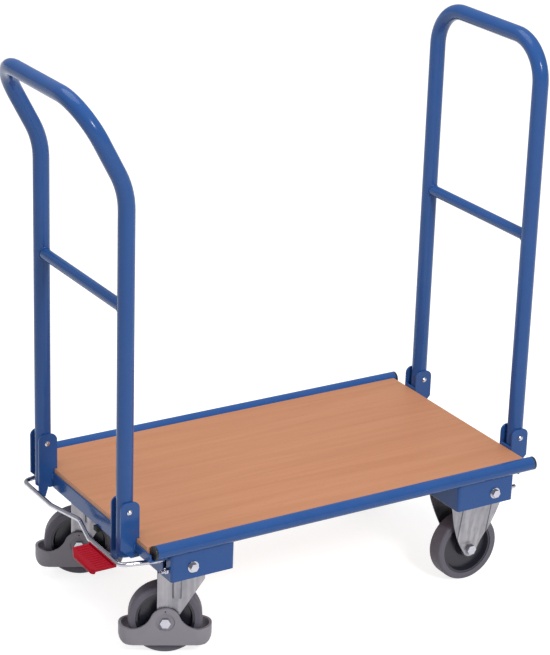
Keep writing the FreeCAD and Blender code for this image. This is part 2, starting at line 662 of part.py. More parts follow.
def castor_box(name, x, side, out, braked):
    """Open-topped folded box; out is the way along X to the trolley's nearer end."""
    sign = SIDES[side]
    body = new_body(name)
    half_l, half_d = "box_length / 2", "box_depth / 2"
    sketch = rectangle(attach(body, name + "_plan", "XY_Plane", (0, 0, "box_bottom")),
                       f"-{half_l}", half_l, f"-{half_d}", half_d)
    shell = feature(body, "Pad", sketch, "frame_top - box_bottom")
    round_edges(body, shell, upright, "box_corner")
    inner = rectangle(attach(body, name + "_inside", "XY_Plane", (0, 0, "frame_top")),
                      f"sheet_wall - {half_l}", f"{half_l} - sheet_wall",
                      f"sheet_wall - {half_d}", f"{half_d} - sheet_wall")
    hollow = feature(body, "Pocket", inner, "frame_top - box_bottom - sheet_wall")
    round_edges(body, hollow, inside_corner, "box_corner - sheet_wall")
    floor_holes = [(f"{i} * plate_bolt_along / 2", f"{j} * plate_bolt_across / 2", "bolt_d / 2 + bolt_gap")
                   for i in (-1, 1) for j in (-1, 1)]
    if braked:
        floor_holes.append((0, 0, "plunger_hole_d / 2"))
    feature(body, "Pocket", rings(attach(body, name + "_floor", "XY_Plane"), floor_holes))
    wall = "2 * sheet_wall"
    side_x = f"{out} * ({half_l} - box_bolt_inset)"
    face = attach(body, name + "_side", "XZ_Plane", (0, 0, f"{-sign} * {half_d}"))
    feature(body, "Pocket", rings(face, [(side_x, "side_bolt_height", "bolt_d / 2 + bolt_gap")]), wall, True)
    face = attach(body, name + "_end", "YZ_Plane", (0, 0, f"{out} * {half_l}"))
    end_y = f"{sign} * ({half_d} - end_bolt_inset)"
    feature(body, "Pocket", rings(face, [(end_y, "end_bolt_height", "stud_d / 2 + bolt_gap")]), wall, True)
    if braked:
        face = attach(body, name + "_slot", "YZ_Plane", (0, 0, f"{out} * {half_l}"))
        arm_y, room = f"{sign} * (bail_spread / 2 - castor_y)", "(rod_d / 2 + slot_room)"
        rectangle(face, f"{arm_y} - {room}", f"{arm_y} + {room}", "box_bottom + slot_floor",
                  "bail_height + slot_head")
        feature(body, "Pocket", face, wall, True)
        face = attach(body, name + "_hinge", "XZ_Plane", (0, 0, f"{sign} * {half_d}"))
        rings(face, [("cam_lever", "bail_height", "rod_d / 2 + run_fit")])
        feature(body, "Pocket", face, wall, True)
    keep(name, place(body, x, f"{sign} * castor_y"))


def inside_corner(edge):
    """True for an upright edge at an inner corner of a castor box."""
    spot = edge.Vertexes[0].Point
    along, across = number("(box_length - sheet_wall) / 2"), number("(box_depth - sheet_wall) / 2")
    return upright(edge) and abs(spot.x) < along and abs(spot.y) < across and at_corner(spot)


def at_corner(spot):
    """True for a spot at the crossing of two inner faces of a castor box."""
    along, across = number("box_length / 2 - sheet_wall"), number("box_depth / 2 - sheet_wall")
    return abs(abs(spot.x) - along) < 0.01 and abs(abs(spot.y) - across) < 0.01


def corner_angle(name, x, side, out):
    """Angle inside the outer corner of a box, which the two hex bolts hold."""
    sign = SIDES[side]
    low = "box_bottom + sheet_wall + angle_room"
    tall = f"frame_top - ({low})"
    edge_x, edge_y = "(box_length / 2 - sheet_wall)", "(box_depth / 2 - sheet_wall)"
    bend_r = "(box_corner - sheet_wall)"
    along_x = f"{bend_r} - {edge_x}" if out < 0 else f"{edge_x} - angle_long"
    along_y = f"{edge_y} - angle_wall" if sign > 0 else f"-{edge_y}"
    along = block(name + "_along", f"angle_long - {bend_r}", "angle_wall", tall, along_x, along_y, low)
    across_x = f"-{edge_x}" if out < 0 else f"{edge_x} - angle_wall"
    across_y = f"{edge_y} - angle_short" if sign > 0 else f"{bend_r} - {edge_y}"
    across = block(name + "_across", "angle_wall", f"angle_short - {bend_r}", tall, across_x, across_y, low)
    corner_x, corner_y = f"{out} * ({edge_x} - {bend_r})", f"{sign} * ({edge_y} - {bend_r})"
    corner = rod(name + "_corner", bend_r, tall, corner_x, corner_y, low)
    reach = "3 * angle_wall"
    hole_x = f"{out} * (box_length / 2 - box_bolt_inset)"
    hole_y = f"{sign} * (box_depth / 2 - end_bolt_inset)"
    side_hole = rod(name + "_side_hole", "bolt_d / 2 + bolt_gap", reach, hole_x,
                    f"{sign} * {edge_y} - {reach} / 2", "side_bolt_height", "y")
    end_hole = rod(name + "_end_hole", "stud_d / 2 + bolt_gap", reach, f"{out} * {edge_x} - {reach} / 2",
                   hole_y, "end_bolt_height", "x")
    whole = fuse(name + "_whole", [along, across, corner])
    return place(cut(name, whole, fuse(name + "_holes", [side_hole, end_hole])), x, f"{sign} * castor_y")


def hex_bolt(name, grip, washer=True):
    """Bolt along Z with its head above zero and its shank through a grip below zero."""
    lift = "washer_thick" if washer else "0"
    pieces = [hexagon(name + "_head", "bolt_flats", "bolt_head", lift)]
    length = f"{grip} + nut_thick + bolt_spare + {lift}"
    pieces.append(rod(name + "_shank", "bolt_d / 2", length, 0, 0, f"{lift} - ({length})"))
    if washer:
        pieces.append(rod(name + "_washer", "washer_d / 2", "washer_thick"))
    return fuse(name, pieces)


def hex_nut(name, grip):
    thread = rod(name + "_thread", "bolt_d / 2 + bolt_gap", "nut_thick", 0, 0, f"-({grip}) - nut_thick")
    return cut(name, hexagon(name + "_hex", "bolt_flats", "nut_thick", f"-({grip}) - nut_thick"), thread)


def end_stud(name, grip):
    """Bolt along Z with its head inside the box, below the grip, and its end standing out above zero."""
    length = f"{grip} + stud_nut + stud_spare"
    shank = rod(name + "_shank", "stud_d / 2", length, 0, 0, f"-({grip})")
    return fuse(name, [shank, hexagon(name + "_head", "stud_flats", "stud_head", f"-({grip}) - stud_head")])


def end_nut(name):
    thread = rod(name + "_thread", "stud_d / 2 + bolt_gap", "stud_nut")
    return cut(name, hexagon(name + "_hex", "stud_flats", "stud_nut"), thread)


def castor_fixings(stations):
    angles, bolts, nuts, plate_bolts, plate_nuts = [], [], [], [], []
    grip = "sheet_wall + angle_wall"
    for end, x, out in stations:
        for side, sign in SIDES.items():
            tag = f"{end}_{side}"
            angles.append(corner_angle("corner_angle_" + tag, x, side, out))
            side_y = f"{sign} * (castor_y + box_depth / 2)"
            where = (f"{x} + {out} * (box_length / 2 - box_bolt_inset)", side_y, "side_bolt_height",
                     AXIS_TURN["y" if sign > 0 else "-y"])
            bolts.append(place(hex_bolt("side_bolt_" + tag, grip), *where))
            nuts.append(place(hex_nut("side_nut_" + tag, grip), *where))
            where = (f"{x} + {out} * box_length / 2", f"{sign} * (castor_y + box_depth / 2 - end_bolt_inset)",
                     "end_bolt_height", AXIS_TURN["x" if out > 0 else "-x"])
            bolts.append(place(end_stud("end_bolt_" + tag, grip), *where))
            nuts.append(place(end_nut("end_nut_" + tag), *where))
            for i in (-1, 1):
                for j in (-1, 1):
                    mark = f"{tag}_{i + 1}{j + 1}"
                    bolt_x = f"{x} + {i} * plate_bolt_along / 2"
                    bolt_y = f"{sign} * castor_y + {j} * plate_bolt_across / 2"
                    where = (bolt_x, bolt_y, "plate_bottom", AXIS_TURN["-z"])
                    thick = "plate_thick + sheet_wall"
                    plate_bolts.append(place(hex_bolt("plate_bolt_" + mark, thick, False), *where))
                    plate_nuts.append(place(hex_nut("plate_nut_" + mark, thick), *where))
    group("corner_angles", angles)
    group("box_bolts", bolts)
    group("box_nuts", nuts)
    group("plate_bolts", plate_bolts)
    group("plate_nuts", plate_nuts)


# Castors

def wheel(name, station, trail):
    """Tread and core, turned about the axle; trail is how far the axle lies behind the castor axis."""
    shift = (0, "wheel_r", f"-({trail})")
    half_t, crown, rim_r = "tread_width / 2", "tread_crown / 2", "core_d / 2"
    shoulder = "wheel_r - tread_round"
    body = new_body(name + "_tread")
    path = [(f"tread_tuck - {half_t}", rim_r), (f"{half_t} - tread_tuck", rim_r)]
    path += [(half_t, shoulder, "tread_round", 1)]
    path += [(crown, "wheel_r"), (f"-{crown}", "wheel_r", "tread_round", 1), (f"-{half_t}", shoulder)]
    revolve(body, outline(attach(body, name + "_tread_half", "YZ_Plane", shift), path), "H_Axis")
    keep(name + "_tread", stand(body, station))

    body = new_body(name + "_core")
    bore, hub, rim_in = "axle_d / 2 + run_fit", "hub_d / 2", "core_d / 2 - rim_thick"
    half_h, half_w, half_r = "hub_width / 2", "web_thick / 2", "rim_width / 2"
    right = [(half_h, bore), (half_h, hub), (half_w, f"{hub} + core_slope")]
    right += [(half_w, f"{rim_in} - core_slope")]
    right += [(half_r, rim_in), (half_r, rim_r)]
    left = [(f"-({y})", z) for y, z in reversed(right)]
    revolve(body, outline(attach(body, name + "_core_half", "YZ_Plane", shift), right + left), "H_Axis")
    keep(name + "_core", stand(body, station))


def stand(thing, station):
    """Put a piece of a castor, modelled about the castor axis, where its castor is."""
    x, y, turn = station
    return place(thing, x, y, 0, FreeCAD.Rotation(V(0, 0, 1), turn))


def plate_pad(body, name, low):
    sketch = rectangle(attach(body, name + "_plate", "XY_Plane", (0, 0, low)),
                       "-plate_length / 2", "plate_length / 2", "-plate_width / 2", "plate_width / 2")
    return feature(body, "Pad", sketch, "plate_thick")


def plate_holes(body, name, middle=None):
    circles = [(f"{i} * plate_bolt_along / 2", f"{j} * plate_bolt_across / 2", "bolt_d / 2 + bolt_gap")
               for i in (-1, 1) for j in (-1, 1)]
    if middle:
        circles.append((0, 0, middle))
    holes = rings(attach(body, name + "_holes", "XY_Plane", (0, 0, "box_bottom")), circles)
    feature(body, "Pocket", holes, "plate_thick")


def axle(name, station, trail, half):
    """Axle bolt with its head on the near side, and its nut; half is the stack's half width."""
    start = f"-({half}) - axle_head"
    length = f"2 * ({half}) + axle_head + nut_thick + bolt_spare"
    shank = rod(name + "_shank", "axle_d / 2", length, f"-({trail})", start, "wheel_r", "y")
    head = hexagon(name + "_head", "axle_flats", "axle_head")
    place(head, f"-({trail})", start, "wheel_r", AXIS_TURN["y"])
    bolt = stand(fuse(name + "_bolt", [shank, head]), station)
    spot = (f"-({trail})", half, "wheel_r")
    hexed = place(hexagon(name + "_hex", "axle_flats", "nut_thick"), *spot, AXIS_TURN["y"])
    thread = rod(name + "_thread", "axle_d / 2 + bolt_gap", "nut_thick", *spot, "y")
    return bolt, stand(cut(name + "_nut", hexed, thread), station)


def fixed_fork(name, station):
    """Plate and two tapering legs with pressed panels, set wide at the plate and closing in to the axle."""
    body = new_body(name)
    back_x, front_x, top = "fixed_lead - fork_back", "fixed_lead + fork_front", "plate_bottom"
    back_touch = touch_points("fixed_lead", "wheel_r", "fork_tip", back_x, top, 1)
    front_touch = touch_points("fixed_lead", "wheel_r", "fork_tip", front_x, top, -1)
    path = [(*back_touch, "fork_tip", 1), (*front_touch, "fork_bulge", 1), (front_x, top)]
    path += [(back_x, top, "fork_bulge", 1)]
    feature(body, "Pad", outline(attach(body, name + "_leg", "XZ_Plane"), path), "2 * fork_spread", True)
    wide, low, high = "(fork_spread - fork_wall)", "-cut_room", "plate_bottom + cut_room"
    path = [("-fork_in", low), ("fork_in", low), ("fork_in", "joggle_low"), (wide, "joggle_top"), (wide, high)]
    path += [(f"-{wide}", high), (f"-{wide}", "joggle_top"), ("-fork_in", "joggle_low")]
    feature(body, "Pocket", outline(attach(body, name + "_slot", "YZ_Plane"), path))
    for way in (-1, 1):
        past = f"{way} * (fork_spread + cut_room)"
        path = [(f"{way} * fork_out", low), (past, low), (past, "joggle_top")]
        path += [(f"{way} * fork_spread", "joggle_top"), (f"{way} * fork_out", "joggle_low")]
        feature(body, "Pocket", outline(attach(body, f"{name}_side_{way + 1}", "YZ_Plane"), path))
        outside, spread = f"{way} * fork_out", f"{way} * fork_spread"
        sunk, sunk_spread = f"{way} * (fork_out - fork_step)", f"{way} * (fork_spread - fork_step)"
        path = [(outside, "0"), (outside, "joggle_low"), (spread, "joggle_top"), (spread, top)]
        path += [(sunk_spread, top), (sunk_spread, "joggle_top"), (sunk, "joggle_low"), (sunk, "0")]
        for panel, begin, end in (("back", "-plate_length", "fixed_lead - crease_back"),
                                  ("front", "fixed_lead + crease_middle", "fixed_lead + crease_front")):
            sketch = attach(body, f"{name}_{panel}_{way + 1}", "YZ_Plane", (0, 0, end))
            feature(body, "Pocket", outline(sketch, path), f"{end} - ({begin})")
    plate_pad(body, name, "plate_bottom")
    plate_holes(body, name)
    hole = attach(body, name + "_axle", "XZ_Plane")
    feature(body, "Pocket", rings(hole, [("fixed_lead", "wheel_r", "axle_d / 2 + bolt_gap")]))
    keep(name, stand(body, station))


def swivel_plate(name, station):
    """Plate with the race ring that the fork turns against."""
    body = new_body(name)
    plate_pad(body, name, "plate_bottom")
    low = "crown_top + race_gap"
    ring = rings(attach(body, name + "_race", "XY_Plane", (0, 0, low)),
                 [(0, 0, "race_d / 2"), (0, 0, "race_bore / 2")])
    feature(body, "Pad", ring, f"plate_bottom - ({low})")
    plate_holes(body, name, "king_d / 2 + run_fit")
    keep(name, stand(body, station))


def king_pin(name, station):
    body = new_body(name)
    bore, pin, flange = "plunger_d / 2 + run_fit", "king_d / 2", "king_flange_d / 2"
    low = "king_top - king_flange"
    path = [(bore, low), (flange, low), (flange, "king_top"), (pin, "king_top"), (pin, "box_bottom")]
    path += [(bore, "box_bottom")]
    revolve(body, outline(attach(body, name + "_half", "XZ_Plane"), path), "V_Axis")
    return stand(body, station)


def swivel_fork(name, station):
    """Crown and two legs that trail behind the swivel axis."""
    body = new_body(name)
    centre, corner = "-trail", ("crown_front", "crown_top - crown_drop")
    touch = touch_points(centre, "wheel_r", "fork_tip", *corner, -1)
    path = [("-trail - fork_tip", "wheel_r", "fork_tip", 1), touch, corner, ("crown_front", "crown_top")]
    path += [("-trail - fork_tip", "crown_top")]
    feature(body, "Pad", outline(attach(body, name + "_leg", "XZ_Plane"), path), "2 * fork_out", True)
    start, far = "wing_start - trail", "wheel_d"
    for way in (-1, 1):
        wing = attach(body, f"{name}_wing_{way + 1}", "XZ_Plane", (0, 0, f"{way} * fork_out"))
        path = [(start, "wheel_r"), (far, "wheel_r"), (far, "crown_top + cut_room")]
        path += [(start, "crown_top + cut_room")]
        feature(body, "Pocket", outline(wing, path), "2 * fork_step", True)
        bead = attach(body, f"{name}_bead_{way + 1}", "XY_Plane", (0, 0, "bead_low"))
        bead_y = f"{-way} * (fork_out + bead_proud - bead_d / 2)"
        rings(bead, [(f"{start} + bead_d / 2", bead_y, "bead_d / 2")])
        feature(body, "Pad", bead, "crown_top - bead_low")
    slot = rectangle(attach(body, name + "_slot", "XZ_Plane"), "-wheel_d", "wheel_d", "0", "crown_bottom")
    feature(body, "Pocket", slot, "2 * fork_in", True)
    hole = rings(attach(body, name + "_king", "XY_Plane"), [(0, 0, "king_d / 2 + run_fit")])
    feature(body, "Pocket", hole)
    hole = rings(attach(body, name + "_axle", "XZ_Plane"), [(centre, "wheel_r", "axle_d / 2 + bolt_gap")])
    feature(body, "Pocket", hole)
    keep(name, stand(body, station))


def foot_guard(name, station):
    """Moulded skirt round the wheel, high round the axle and low at both ends."""
    body = new_body(name)
    plan = attach(body, name + "_plan", "XY_Plane", ("-trail", 0, "guard_bottom"))
    for half, end in (("guard_out", "guard_length / 2"), ("guard_in", "guard_length / 2 - guard_wall")):
        straight = f"{end} - {half}"
        path = [(f"-({straight})", f"-({half})"), (straight, f"-({half})", half, 1), (end, 0, half, 1)]
        path += [(straight, half), (f"-({straight})", half, half, 1), (f"-({end})", 0, half, 1)]
        outline(plan, path)
    top = "wheel_r + guard_dome"
    feature(body, "Pad", plan, f"{top} - guard_bottom")
    side = attach(body, name + "_profile", "XZ_Plane", ("-trail", 0, 0))
    meet_x, meet_z = "curve_reach * dome_share", "wheel_r + curve_rise * dome_share"
    far = "guard_length"
    end, end_top = "guard_length / 2", "band_top + guard_end_rise"
    path = [(f"-{far}", end_top), (f"-{end}", end_top), ("-curve_reach", "band_top", "guard_curve", 1)]
    path += [(f"-{meet_x}", meet_z, "guard_dome", -1), ("0", top, "guard_dome", -1)]
    path += [(meet_x, meet_z, "guard_curve", 1), ("curve_reach", "band_top"), (end, end_top), (far, end_top)]
    path += [(far, f"{top} + cut_room"), (f"-{far}", f"{top} + cut_room")]
    feature(body, "Pocket", outline(side, path))
    for way in (-1, 1):
        corner = attach(body, f"{name}_keel_{way + 1}", "XZ_Plane", ("-trail", 0, 0))
        past, flat = f"{way} * ({end} + cut_room)", f"{way} * ({end} - guard_keel)"
        low = "guard_bottom - cut_room"
        path = [(f"{way} * {end}", "guard_bottom + guard_keel", "guard_keel", -way), (flat, "guard_bottom")]
        path += [(flat, low), (past, low), (past, "guard_bottom + guard_keel")]
        feature(body, "Pocket", outline(corner, path))
        dish = attach(body, f"{name}_dish_{way + 1}", "XZ_Plane", (0, 0, f"{way} * guard_out"))
        rings(dish, [("-trail", "wheel_r", "guard_dish_d / 2")])
        feature(body, "Pocket", dish, "2 * guard_dish", True)
    small = rings(attach(body, name + "_pin", "XZ_Plane"),
                  [("-trail", "wheel_r", "axle_d / 2 + bolt_gap"),
                   ("-trail", "wheel_r + guard_pin_rise", "guard_pin_d / 2")])
    feature(body, "Pocket", small)
    keep(name, stand(body, station))


def plunger(name, station):
    """Brake plunger: head under the cam finger, stem in the king pin, shoe above the tread."""
    body = new_body(name)
    head, stem, shoe = "plunger_head_d / 2", "plunger_d / 2", "shoe_d / 2"
    path = [(0, "shoe_bottom"), (shoe, "shoe_bottom"), (shoe, "shoe_bottom + shoe_thick")]
    path += [(stem, "shoe_bottom + shoe_thick"), (stem, "plunger_top - plunger_head")]
    path += [(head, "plunger_top - plunger_head"), (head, "plunger_top"), (0, "plunger_top")]
    revolve(body, outline(attach(body, name + "_half", "XZ_Plane"), path), "V_Axis")
    keep(name, stand(body, station))


# Brake bail

def rounded_run(sketch, spots, radii):
    """Straight runs through the spots, joined by tangent arcs of the radii given."""
    last = spots[0]
    for before, spot, after, radius in zip(spots, spots[1:], spots[2:], radii):
        way_in, way_out = (before - spot).normalize(), (after - spot).normalize()
        room = radius / math.tan(way_in.getAngle(way_out) / 2)
        start, finish = spot + way_in * room, spot + way_out * room
        middle = (way_in + way_out).normalize()
        centre = spot + middle * math.hypot(room, radius)
        sketch.addGeometry(Part.LineSegment(last, start))
        sketch.addGeometry(Part.Arc(start, centre - middle * radius, finish))
        last = finish
    sketch.addGeometry(Part.LineSegment(last, spots[-1]))


def bail_rod():
    """Wire bent in one plane: hinge ends in the boxes, arms, and a long run drawn in at its middle."""
    body = new_body("bail_rod")
    end_y = "castor_y - box_depth / 2 - bail_spare"
    elbow = "push_castor - box_length / 2 - bail_elbow"
    half = [("hinge_x", end_y), ("hinge_x", "bail_spread / 2"), (elbow, "bail_spread / 2")]
    half += [("bail_x", "bail_y"), ("bail_x", "bail_dip_half")]
    middle = [("bail_x + bail_dip", "0")]
    route = [(x, f"-({y})") for x, y in half] + middle + list(reversed(half))
    bends = ["bail_eye", "bail_dip_bend", "bail_corner", "bail_dip_bend"]
    radii = [number(size) for size in bends + ["bail_dip_bend"] + bends[::-1]]
    spine = attach(body, "bail_route", "XY_Plane", (0, 0, "bail_height"))
    rounded_run(spine, [V(number(x), number(y), 0) for x, y in route], radii)
    section = attach(body, "bail_section", "XZ_Plane", (0, 0, end_y))
    rings(section, [("hinge_x", "bail_height", "rod_d / 2")])
    pipe = body.newObject("PartDesign::AdditivePipe", "bail_pipe")
    pipe.Profile = section
    pipe.Spine = (spine, [])
    keep("bail_rod", body)


def pedal():
    """Foot plate with a thick rounded lip, hung below the wire in a half-round cradle."""
    body = new_body("pedal")
    spot = (0, 0, "pedal_start")
    plate = attach(body, "pedal_plate", "XZ_Plane", spot)
    rectangle(plate, "-pedal_depth", "0", "-pedal_sink - pedal_thick", "-pedal_sink")
    feature(body, "Pad", plate, "pedal_length")
    lip = attach(body, "pedal_rim", "XZ_Plane", spot)
    rings(lip, [("-pedal_depth", "pedal_proud - pedal_sink - pedal_lip", "pedal_lip")])
    feature(body, "Pad", lip, "pedal_length")
    half = "pedal_cradle_d / 2"
    path = [(f"-{half}", 0, half, 1), (0, f"-{half}", half, 1), (half, 0)]
    feature(body, "Pad", outline(attach(body, "pedal_cradle", "XZ_Plane", spot), path), "pedal_length")
    feature(body, "Pocket", rings(attach(body, "pedal_bore", "XZ_Plane"), [(0, 0, "rod_d / 2")]))
    edge, near = "-pedal_depth - pedal_lip", "-pedal_start - pedal_length"
    past = f"{edge} - cut_room"
    far_x, far_y = f"{edge} + pedal_far_along", "-pedal_start - pedal_far_across"
    path = [(far_x, "-pedal_start"), (edge, far_y), (past, far_y), (past, "cut_room - pedal_start")]
    path += [(far_x, "cut_room - pedal_start")]
    feature(body, "Pocket", outline(attach(body, "pedal_far_corner", "XY_Plane"), path))
    near_x, near_y = f"{edge} + pedal_near_cut", f"{near} + pedal_near_cut"
    path = [(near_x, near), (edge, near_y), (past, near_y), (past, f"{near} - cut_room")]
    path += [(near_x, f"{near} - cut_room")]
    feature(body, "Pocket", outline(attach(body, "pedal_near_corner", "XY_Plane"), path))
    keep("pedal", place(body, "bail_x", 0, "bail_height"))


def brake_cams():
    cams = []
    for side, sign in SIDES.items():
        name = f"cam_{side}"
        start = f"{sign} * castor_y - cam_width / 2"
        hub = rod(name + "_hub", "cam_hub_d / 2", "cam_width", "hinge_x", start, "bail_height", "y")
        level = "bail_height + cam_lift"
        tip = rod(name + "_tip", "cam_tip_d / 2", "cam_width", "push_castor", start, level, "y")
        arm = block(name + "_arm", "cam_lever", "cam_width", "cam_tip_d / 2", "push_castor", start, level)
        bore = rod(name + "_bore", "rod_d / 2", "cam_width", "hinge_x", start, "bail_height", "y")
        cams.append(cut(name, fuse(name + "_whole", [hub, tip, arm]), bore))
    group("brake_cams", cams)


def stop_block():
    x = "board_push - sheet_wall / 2 - stop_along / 2"
    thing = block("stop_block", "stop_along", "stop_across", "stop_tall", x, "-stop_place - stop_across / 2",
                  "end_rail_bottom - stop_tall")
    keep("stop_block", thing)


# The whole trolley

def build():
    deck_board()
    side_rails()
    end_rails()
    for side in SIDES:
        hinge_bracket(f"push_bracket_{side}", "push_x", side, "push_pivot", 0, True)
        hinge_bracket(f"front_bracket_{side}", "front_x", side, "front_pivot", 180, False)
    pivot_bolts()
    push_handle()
    front_handle()
    castor_fixings([("push", "push_castor", -1), ("front", "front_castor", 1)])
    king_pins, axles, axle_nuts = [], [], []
    for side, sign in SIDES.items():
        castor_box(f"push_box_{side}", "push_castor", side, -1, True)
        castor_box(f"front_box_{side}", "front_castor", side, 1, False)
        y = f"{sign} * castor_y"
        fixed = ("front_castor", y, 0)
        fixed_fork(f"fixed_fork_{side}", fixed)
        wheel(f"fixed_wheel_{side}", fixed, "-fixed_lead")
        bolt, nut = axle(f"fixed_axle_{side}", fixed, "-fixed_lead", "fork_out")
        axles.append(bolt)
        axle_nuts.append(nut)
        frame = ("push_castor", y, 0)
        turned = ("push_castor", y, -number("swivel_angle"))
        swivel_plate(f"swivel_plate_{side}", frame)
        king_pins.append(king_pin(f"king_pin_{side}", frame))
        plunger(f"plunger_{side}", frame)
        swivel_fork(f"swivel_fork_{side}", turned)
        foot_guard(f"foot_guard_{side}", turned)
        wheel(f"swivel_wheel_{side}", turned, "trail")
        bolt, nut = axle(f"swivel_axle_{side}", turned, "trail", "guard_out - guard_dish")
        keep(f"swivel_axle_{side}", bolt)
        keep(f"swivel_axle_nut_{side}", nut)
    group("king_pins", king_pins)
    group("fixed_axles", axles)
    group("fixed_axle_nuts", axle_nuts)
    bail_rod()
    pedal()
    brake_cams()
    stop_block()
    doc.recompute()


def write():
    for thing in doc.Objects:
        if "Invalid" in thing.State or "Error" in thing.State:
            raise RuntimeError(f"{thing.Label} failed: {thing.State}")
    os.makedirs("parts", exist_ok=True)
    for name, thing in nodes.items():
        shape = thing.Shape
        if shape.isNull() or not shape.isValid() or not shape.Solids:
            raise RuntimeError(f"{name} has no valid solid")
    for name, thing in nodes.items():
        thing.Shape.exportStep(f"parts/{name}.step")
        print(name, len(thing.Shape.Solids), round(thing.Shape.Volume))


build()
write()
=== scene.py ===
import math

import bmesh
import bpy
from bpy.props import FloatProperty, FloatVectorProperty, PointerProperty
from mathutils import Matrix, Vector


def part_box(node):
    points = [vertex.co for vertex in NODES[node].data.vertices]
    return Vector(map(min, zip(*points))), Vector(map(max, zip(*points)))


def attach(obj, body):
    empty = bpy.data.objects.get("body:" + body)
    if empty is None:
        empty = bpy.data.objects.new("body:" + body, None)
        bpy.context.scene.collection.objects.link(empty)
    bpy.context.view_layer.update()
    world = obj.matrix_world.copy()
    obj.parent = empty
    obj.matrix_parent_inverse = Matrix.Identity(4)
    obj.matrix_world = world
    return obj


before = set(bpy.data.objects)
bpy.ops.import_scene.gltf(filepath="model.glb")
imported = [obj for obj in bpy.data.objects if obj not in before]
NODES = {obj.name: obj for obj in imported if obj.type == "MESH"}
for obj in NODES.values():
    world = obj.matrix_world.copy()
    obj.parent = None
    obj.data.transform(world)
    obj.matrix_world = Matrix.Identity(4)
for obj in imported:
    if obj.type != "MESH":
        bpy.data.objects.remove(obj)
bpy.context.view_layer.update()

bl_info = {
    "name": "Folding platform trolley",
    "version": (1, 0, 0),
    "blender": (4, 5, 0),
    "location": "3D View > Sidebar > Trolley",
    "description": "Finishes, welds and small parts of a folding platform trolley, and its studio",
    "category": "Object",
}

SIDES = {"a": -1, "b": 1}
MM = 0.001
# Places of the colour sockets on a Mix node
MIX_FIRST, MIX_SECOND, MIX_RESULT = 6, 7, 2
# Most values of a noise lie between these two
NOISE_LOW, NOISE_HIGH = 0.3, 0.7
# Tones of dust on paint, plastic and rubber, and on zinc
DUST = (0.42, 0.4, 0.38)
ZINC_DUST = (0.33, 0.31, 0.29)
# Points of a node's mesh that are this near are one, and triangles this level are one face
JOIN_GAP = 0.01 * MM
LEVEL_ANGLE = math.radians(0.5)
ROUNDING_STEPS = 2
# Edges that turn by less than these are smooth: pedal ribs, round bars and weld beads
RIB_SMOOTH, BAR_SMOOTH, BEAD_SMOOTH = math.radians(40), math.radians(50), math.radians(60)
# Share of a round bar's radius that is left at its ends
BAR_END = 0.86
BAR_SIDES = 12
# Share of a bar's radius at the ridges of a weld and of a thread
WELD_SWELL, THREAD_SWELL = 1.12, 1.1
THREAD_SIDES = 32
# Weld below the end rail's top, as a share of its length
STITCH_DROP = 0.6
# Bead round a crossbar: share of its half width that lies outside the bar, its sides, and its size in the dips
BEAD_OUT = 0.25
BEAD_SIDES = 10
BEAD_DIP = 0.88
# What counts as one ring of the bead: a share of its half width, and an angle
RING_REACH, RING_ANGLE = 1.02, 0.02
# Rounding of a pedal rib's top, as a share of its height
RIB_ROUND = 0.7
RIB_STEPS = 3
# The camera's frame in millimetres, and how far it sees
FRAME_WIDTH = 36
FAR_CLIP = 200
FLOOR_ROUGHNESS = 0.9
LAMP_AIM = Vector((0, 0, 0.4))


def paint(red, green, blue):
    """Linear colour of a paint chart's 0 to 255 values."""
    def linear(value):
        value /= 255
        return value / 12.92 if value <= 0.04045 else ((value + 0.055) / 1.055) ** 2.4
    return (linear(red), linear(green), linear(blue))


def colour(name, description, value):
    return FloatVectorProperty(name=name, description=description, subtype="COLOR", size=3, min=0, max=1,
                               default=value)


def length(name, description, value):
    return FloatProperty(name=name, description=description, unit="LENGTH", subtype="DISTANCE", min=0, default=value)


def place(name, description, value):
    return FloatVectorProperty(name=name, description=description, subtype="XYZ", unit="LENGTH", default=value)


class TrolleyColours(bpy.types.PropertyGroup):
    """Colours of the trolley's finishes."""
    blue: colour("Blue", "Powder coat on the frame and the handles", paint(47, 91, 158))
    board: colour("Board", "Beech decor of the deck", paint(205, 143, 106))
    grain: colour("Grain", "Darker bands in the decor", paint(193, 130, 93))
    pore: colour("Pores", "Short dark flecks in the decor", paint(170, 110, 78))
    edge: colour("Edge band", "Strip on the deck's edges", paint(222, 166, 128))
    zinc: colour("Zinc", "Pressed steel of the castors", paint(148, 146, 150))
    bright: colour("Bright zinc", "Bolts and wire", paint(190, 189, 197))
    tread: colour("Tread", "Rubber of the wheels", paint(106, 102, 115))
    core: colour("Core", "Plastic of the wheel centres", paint(42, 42, 54))
    guard: colour("Guard", "Plastic of the foot guards", paint(154, 150, 160))
    black: colour("Black", "Rail caps and stop block", paint(30, 30, 33))
    pedal: colour("Pedal", "Plastic of the brake pedal", paint(176, 5, 36))


